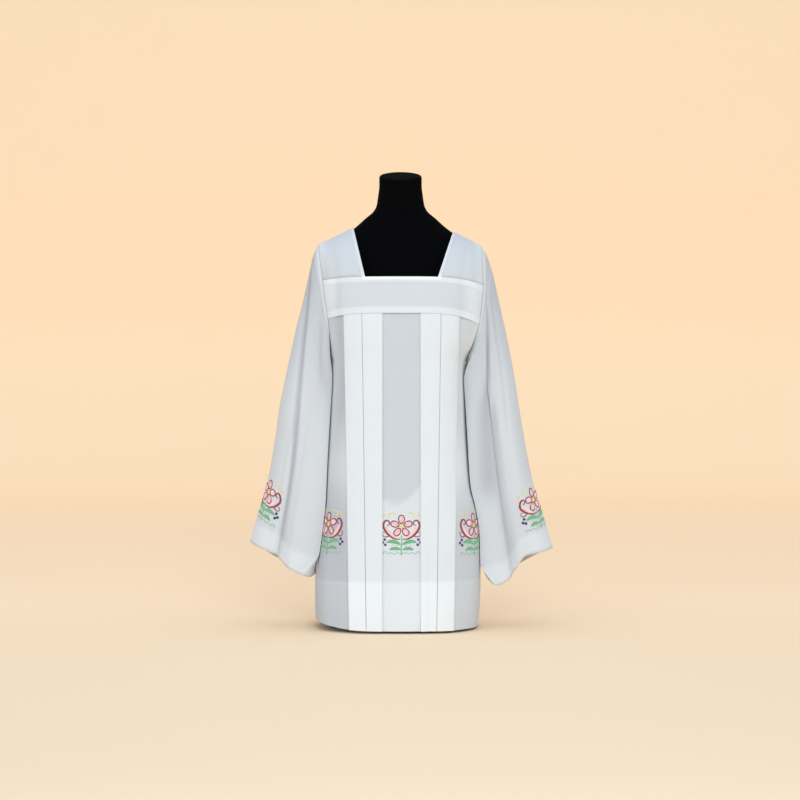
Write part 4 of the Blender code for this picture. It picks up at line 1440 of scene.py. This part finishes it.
# The lines of the sprig's one half, whose mirror image is the other
SCROLL = ((3, -14), (15, -13), (27, -6), (36, 4), (41, 16), (37, 27), (29, 27), (27, 20), (32, 17))
CURL = ((27, -6), (35, -9), (42, -6), (43, 1), (38, 1))
TENDRIL = ((1, -47), (9, -44), (16, -48), (23, -44), (30, -47), (36, -42), (41, -44), (39, -48))
BERRIES = ((38, -15), (42.5, -21.5), (36.5, -26.5))
VEINS = ((10, -28.5), (20, -27.5), (12, -40.5))
STEM = ((0, -6), (0.8, -20), (-0.8, -34), (0, -50))

# The fills, tips and leaves of that half, which swell: marks, points along, and widths at the ends and middle
Swelling = namedtuple("Swelling", "thread marks count ends middle")
SWELLINGS = (
    Swelling("pink", ((14, -8), (23, -3), (30, 5), (34.5, 15)), 26, 0.8, 3.6),
    Swelling("gold", ((13, 42), (20, 45), (27, 42), (28, 36), (23, 35)), 22, 0.6, 1.3),
    Swelling("gold", ((44, 34), (41, 39), (35, 42)), 12, 0.7, 1.5),
    Swelling("green", ((2, -26), (12, -21), (23, -19), (34, -21)), 24, 0.5, 4.4),
    Swelling("green", ((2, -38), (10, -35), (19, -35), (27, -38)), 20, 0.5, 3.8),
)


def flower():
    """The strokes of the sprig's flower."""
    strokes = []
    for k in range(PETALS):
        angle = 90 + 360 / PETALS * k
        way = np.array([math.cos(math.radians(angle)), math.sin(math.radians(angle))])
        side = np.array([-way[1], way[0]])
        edge = []
        for i in range(PETAL_POINTS):
            t = 2 * math.pi * i / PETAL_POINTS
            along = 15.5 - 9.5 * math.cos(t)
            bulge = 7.6 * math.sin(t) * (0.72 + 0.28 * (along - 6) / 19)
            edge.append(tuple(HEART + way * along + side * bulge))
        strokes.append(Stroke("red", edge, [1.25] * PETAL_POINTS, True))
        axis = [tuple(HEART + way * r) for r in np.linspace(7.5, 23.2, 16)]
        strokes.append(Stroke("pink", axis, swell(16, 0.8, 5.6), False))
        spoke = [tuple(HEART + way * r) for r in np.linspace(6, 13, 6)]
        strokes.append(Stroke("red", spoke, [0.9, 0.9, 0.8, 0.7, 0.5, 0.4], False))
    angles = np.radians(np.linspace(0, 350, 20))
    ring = [(HEART[0] + 3.1 * math.cos(a), HEART[1] + 3.1 * math.sin(a)) for a in angles]
    strokes.append(Stroke("gold", ring, [1.9] * 20, True))
    return strokes


def half_sprig():
    """The strokes of the sprig's one half."""
    widths = [0.9 + 1.5 * math.sin(math.pi * i / 59) for i in range(60)]
    strokes = [Stroke("red", curve_points(SCROLL, 60), widths, False)]
    strokes.append(Stroke("red", curve_points(CURL, 24), [1.3 - 0.03 * i for i in range(24)], False))
    for thread, marks, count, ends, middle in SWELLINGS:
        strokes.append(Stroke(thread, curve_points(marks, count), swell(count, ends, middle), False))
    for x, y in BERRIES:
        berry = [(x - 3 + 6 * i / 10, y) for i in range(11)]
        widths = [math.sqrt(max(0.3, 9.6 - (-3 + 6 * i / 10) ** 2)) for i in range(11)]
        strokes.append(Stroke("violet", berry, widths, False))
    strokes.append(Stroke("tendril", curve_points(TENDRIL, 44), [0.75] * 44, False))
    for x, y in VEINS:
        vein = [(x - 2, y + 0.4), (x, y), (x + 2, y + 0.5)]
        strokes.append(Stroke("tendril", vein, [0.5] * 3, False))
    return strokes


def sprig():
    """Every stroke of the embroidered sprig."""
    strokes = flower()
    for mirror in (-1, 1):
        for stroke in half_sprig():
            strokes.append(stroke._replace(points=[(mirror * x, y) for x, y in stroke.points]))
    strokes.append(Stroke("green", curve_points(STEM, 40), [1.1] * 40, False))
    return strokes


# Where each sprig's middle lies: a panel's face or side, its part, the lengths along and up it, and a size
Place = namedtuple("Place", "kind which part along up size")
PLACES = [
    Place("skirt", FRONT, 0, 0, 230, 1.04),
    Place("skirt", FRONT, RIGHT, 50, 228, 1.1),
    Place("skirt", FRONT, LEFT, 50, 228, 1.1),
    Place("skirt", BACK, 0, 0, 230, 1.04),
    Place("skirt", BACK, RIGHT, 50, 228, 1.1),
    Place("skirt", BACK, LEFT, 50, 228, 1.1),
    Place("sleeve", RIGHT, 0, 30, 118, 1.12),
    Place("sleeve", LEFT, 0, 34, 114, 1.12),
]

# The colours of the embroidery's threads, as sRGB, and their height over the cloth
THREADS = {
    "red": (0.58, 0.24, 0.27),
    "pink": (0.965, 0.79, 0.78),
    "gold": (0.91, 0.84, 0.50),
    "green": (0.45, 0.70, 0.50),
    "violet": (0.22, 0.17, 0.37),
    "tendril": (0.60, 0.73, 0.68),
}
SATIN_LIFT = 0.25


class SURPLICE_OT_embroidery(bpy.types.Operator):
    """Embroiders a sprig of a flower, leaves and berries at eight places above the hems"""

    bl_idname = "surplice.embroidery"
    bl_label = "Embroidery"

    def execute(self, context):
        lines = {}
        design = sprig()
        for spot in PLACES:
            if spot.kind == "skirt":
                surface = skirt_patch(spot.which, spot.part)
            else:
                surface = sleeve_patch(spot.which)
            for stroke in design:
                points, normals = [], []
                for x, y in stroke.points:
                    u = spot.along + x * spot.size
                    point, normal = place_on(surface, u, spot.up + y * spot.size, SATIN_LIFT)
                    points.append(point)
                    normals.append(normal)
                widths = [w * spot.size for w in stroke.widths]
                lines.setdefault(stroke.thread, []).append(Line(points, normals, widths, stroke.closed))
        for thread, colour in THREADS.items():
            material = thread_material(thread + " thread", linear(colour))
            radius = props().thread * 0.8
            thread_piece("embroidery_" + thread, lines[thread], props().satin_gap, radius, False, material)
        return {"FINISHED"}


# Where the topstitching lies: its height over the cloth, how far below a hem's fold, and what it follows
STITCH_LIFT = 0.12
BELOW_FOLD = 2
YOKE_STITCH_ROWS = (1, 4)
ARMHOLE_ROW = 4
OUTER_RUNS = (0, 2, 6)
WHITE_THREAD = (0.89, 0.90, 0.91)


class SURPLICE_OT_seams(bpy.types.Operator):
    """Sews the topstitching along the neck band, yokes, armholes, hems and cuffs"""

    bl_idname = "surplice.seams"
    bl_label = "Topstitching"

    def execute(self, context):
        lines = []
        half = props().stitch_length * 500

        def add(outer, inner, closed=False):
            """Adds a line of stitches just over the outer points."""
            normal = outer - inner
            normal /= np.linalg.norm(normal, axis=1)[:, None]
            lines.append(Line(outer + normal * STITCH_LIFT, normal, [half] * len(outer), closed))

        found = panels()
        band_outer, band_inner = BUILT["neck_band"]
        add(band_outer[5] * 0.6 + band_outer[4] * 0.4, band_inner[5] * 0.6 + band_inner[4] * 0.4, True)
        for face in (FRONT, BACK):
            outer, inner, _ = found["yoke", face]
            for row in YOKE_STITCH_ROWS:
                add(outer[row, 1:-1] * 0.98 + outer[row + 1, 1:-1] * 0.02, inner[row, 1:-1])
            (outer, inner, _), _, runs, heights = BUILT["skirts"][face]
            row = int(np.argmin(np.abs(np.array(heights) - HEM - props().hem_depth + BELOW_FOLD)))
            shown = [run in OUTER_RUNS or run >= len(RUNS) - 1 for run in runs]
            start = None
            for j, show in enumerate(shown + [False]):
                if show and start is None:
                    start = j
                elif not show and start is not None:
                    if j - start > 2:
                        add(outer[row, start:j], inner[row, start:j])
                    start = None
        for node in ("sleeve_right", "sleeve_left"):
            outer, inner, from_cuff = BUILT[node]
            row = int(np.argmin(np.abs(from_cuff - props().cuff_hem + BELOW_FOLD)))
            add(outer[row], inner[row], True)
            add(outer[ARMHOLE_ROW], inner[ARMHOLE_ROW], True)
        white = thread_material("white thread", linear(WHITE_THREAD))
        thread_piece("seam_stitches", lines, props().stitch_gap, props().thread / 2, True, white)
        return {"FINISHED"}


class SURPLICE_OT_form(bpy.types.Operator):
    """Builds the smooth cover of the dress form and finishes its stand"""

    bl_idname = "surplice.form"
    bl_label = "Dress form and stand"

    def execute(self, context):
        turn = np.linspace(0, 2 * np.pi, FORM_COLUMNS, endpoint=False)
        across_x, along_y = np.sin(turn), -np.cos(turn)
        first, last = FORM[0], FORM[-1]
        rings = []
        for share in FORM_BOTTOM:
            level = np.full(FORM_COLUMNS, float(first.z))
            rings.append(np.c_[first.half * share * across_x, first.front * share * along_y, level])
        for z in [*FORM_LOW, *np.linspace(FORM[2].z, last.z, FORM_ROWS)]:
            depth = np.where(along_y < 0, form(z, "front"), form(z, "back"))
            rings.append(np.c_[form(z, "half") * across_x, depth * along_y, np.full(FORM_COLUMNS, z)])
        for inset, drop in NECK_RIM:
            size = (last.half - inset) / last.half
            x = last.half * size * across_x
            y = np.where(along_y < 0, last.front, last.back) * size * along_y
            rings.append(np.c_[x, y, NECK_TOP - drop + NECK_SLOPE * (y - NECK_Y)])
        points = np.concatenate(rings) / 1000
        faces = []
        for below in range(0, len(points) - FORM_COLUMNS, FORM_COLUMNS):
            above = below + FORM_COLUMNS
            for j in range(FORM_COLUMNS):
                k = (j + 1) % FORM_COLUMNS
                faces.append((below + j, below + k, above + k, above + j))
        faces.append(tuple(range(FORM_COLUMNS - 1, -1, -1)))
        faces.append(tuple(range(len(points) - FORM_COLUMNS, len(points))))
        mesh = bpy.data.meshes.new("dress_form_cover")
        mesh.from_pydata(points.tolist(), [], faces)
        mesh.shade_smooth()
        item = bpy.data.objects.new("dress_form_cover", mesh)
        context.scene.collection.objects.link(item)
        dark = tuple(colours().form)
        cover = plain_material("black cover", dark, tuple(c * 1.5 for c in dark), 0.95, 1200, 0.0002)
        cover.node_tree.nodes["Principled BSDF"].inputs["Specular IOR Level"].default_value = 0.03
        finish_piece(item, "dress_form", cover)
        coat = ((0.02, 0.02, 0.022), (0.035, 0.035, 0.038))
        metal = plain_material("black powder coat", *coat, 0.5, 900, 0.0001)
        for node in ("stand_pole", "stand_base"):
            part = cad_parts[node]
            part.data.materials.clear()
            part.data.materials.append(metal)
        return {"FINISHED"}


# The floor and backdrop in metres: how near and far they reach, how wide, how high, and the bend between
FLOOR_NEAR = -8.0
WALL_Y = 6.4
WALL_TOP = 7.0
HALF_WIDTH = 9.0
BEND = 1.2
BEND_STEPS = 12

# The soft light from all round, and the colour of the lamps
SKY = (0.82, 0.89, 0.985)
SKY_STRENGTH = 0.95
LAMP = (0.785, 0.868, 0.982)

# The lamps: where each stands and aims, its size in metres and its power in watts
Light = namedtuple("Light", "name place aim size power")
LIGHTS = (
    Light("key", (0.35, -4.0, 1.5), (0, 0, 0.6), 1.4, 80),
    Light("fill", (-2.4, -2.9, 1.4), (0, 0, 0.55), 2.4, 14),
    Light("top", (0.0, -0.6, 3.4), (0, 0, 0.6), 2.6, 11),
)

# The camera looks straight at the middle of the garment, and shows this width in metres at its front
SENSOR = 36
SHOWN_WIDTH = 1.92
SHOWN_AT = 0.04
CAMERA_X = -0.0012
CAMERA_Z = 0.5474


class SURPLICE_OT_stage(bpy.types.Operator):
    """Sets the floor, backdrop, lights and camera"""

    bl_idname = "surplice.stage"
    bl_label = "Stage"

    def execute(self, context):
        scene = context.scene
        profile = [(FLOOR_NEAR, 0.0)]
        for i in range(BEND_STEPS + 1):
            angle = math.radians(90 * i / BEND_STEPS)
            profile.append((WALL_Y - BEND * (1 - math.sin(angle)), BEND * (1 - math.cos(angle))))
        profile.append((WALL_Y, WALL_TOP))
        points, faces = [], []
        for y, z in profile:
            points += [(-HALF_WIDTH, y, z), (HALF_WIDTH, y, z)]
        for i in range(len(profile) - 1):
            faces.append((2 * i, 2 * i + 1, 2 * i + 3, 2 * i + 2))
        mesh = bpy.data.meshes.new("sweep")
        mesh.from_pydata(points, [], faces)
        mesh.shade_smooth()
        sweep = bpy.data.objects.new("sweep", mesh)
        scene.collection.objects.link(sweep)
        mesh.materials.append(backdrop_material(tuple(colours().backdrop)))
        world = bpy.data.worlds.new("studio")
        world.use_nodes = True
        sky = world.node_tree.nodes["Background"]
        sky.inputs["Color"].default_value = (*SKY, 1)
        sky.inputs["Strength"].default_value = SKY_STRENGTH
        scene.world = world
        for light in LIGHTS:
            data = bpy.data.lights.new(light.name, "AREA")
            data.size = light.size
            data.energy = light.power
            data.color = LAMP
            lamp = bpy.data.objects.new(light.name, data)
            scene.collection.objects.link(lamp)
            place, aim = np.array(light.place), np.array(light.aim)
            lamp.location = place
            lamp.rotation_euler = Vector(aim - place).to_track_quat("-Z", "Y").to_euler()
        data = bpy.data.cameras.new("camera")
        distance = props().camera_distance
        data.lens = SENSOR * (distance - SHOWN_AT) / SHOWN_WIDTH
        data.clip_end = 50
        camera = bpy.data.objects.new("camera", data)
        scene.collection.objects.link(camera)
        camera.location = (CAMERA_X, -distance, CAMERA_Z)
        camera.rotation_euler = (math.pi / 2, 0, 0)
        scene.camera = camera
        scene.view_settings.view_transform = "Standard"
        return {"FINISHED"}


class SURPLICE_PT_panel(bpy.types.Panel):
    """Lists the steps that build the surplice"""

    bl_idname = "SURPLICE_PT_panel"
    bl_label = "Surplice"
    bl_space_type = "VIEW_3D"
    bl_region_type = "UI"
    bl_category = "Surplice"

    def draw(self, context):
        for operator in OPERATORS:
            self.layout.operator(operator.bl_idname)


OPERATORS = (SURPLICE_OT_panels, SURPLICE_OT_skirts, SURPLICE_OT_sleeves, SURPLICE_OT_band, SURPLICE_OT_seams,
             SURPLICE_OT_embroidery, SURPLICE_OT_form, SURPLICE_OT_stage)
CLASSES = (SurpliceSizes, SurpliceColours, *OPERATORS, SURPLICE_PT_panel)


def register():
    for item in CLASSES:
        bpy.utils.register_class(item)
    bpy.types.Scene.surplice_sizes = PointerProperty(type=SurpliceSizes)
    bpy.types.Scene.surplice_colours = PointerProperty(type=SurpliceColours)


def unregister():
    del bpy.types.Scene.surplice_colours
    del bpy.types.Scene.surplice_sizes
    for item in reversed(CLASSES):
        bpy.utils.unregister_class(item)


def main():
    register()
    bpy.ops.surplice.panels()
    bpy.ops.surplice.skirts()
    bpy.ops.surplice.sleeves()
    bpy.ops.surplice.band()
    bpy.ops.surplice.seams()
    bpy.ops.surplice.embroidery()
    bpy.ops.surplice.form()
    bpy.ops.surplice.stage()
    bpy.context.view_layer.update()


if __name__ == "__main__":
    main()
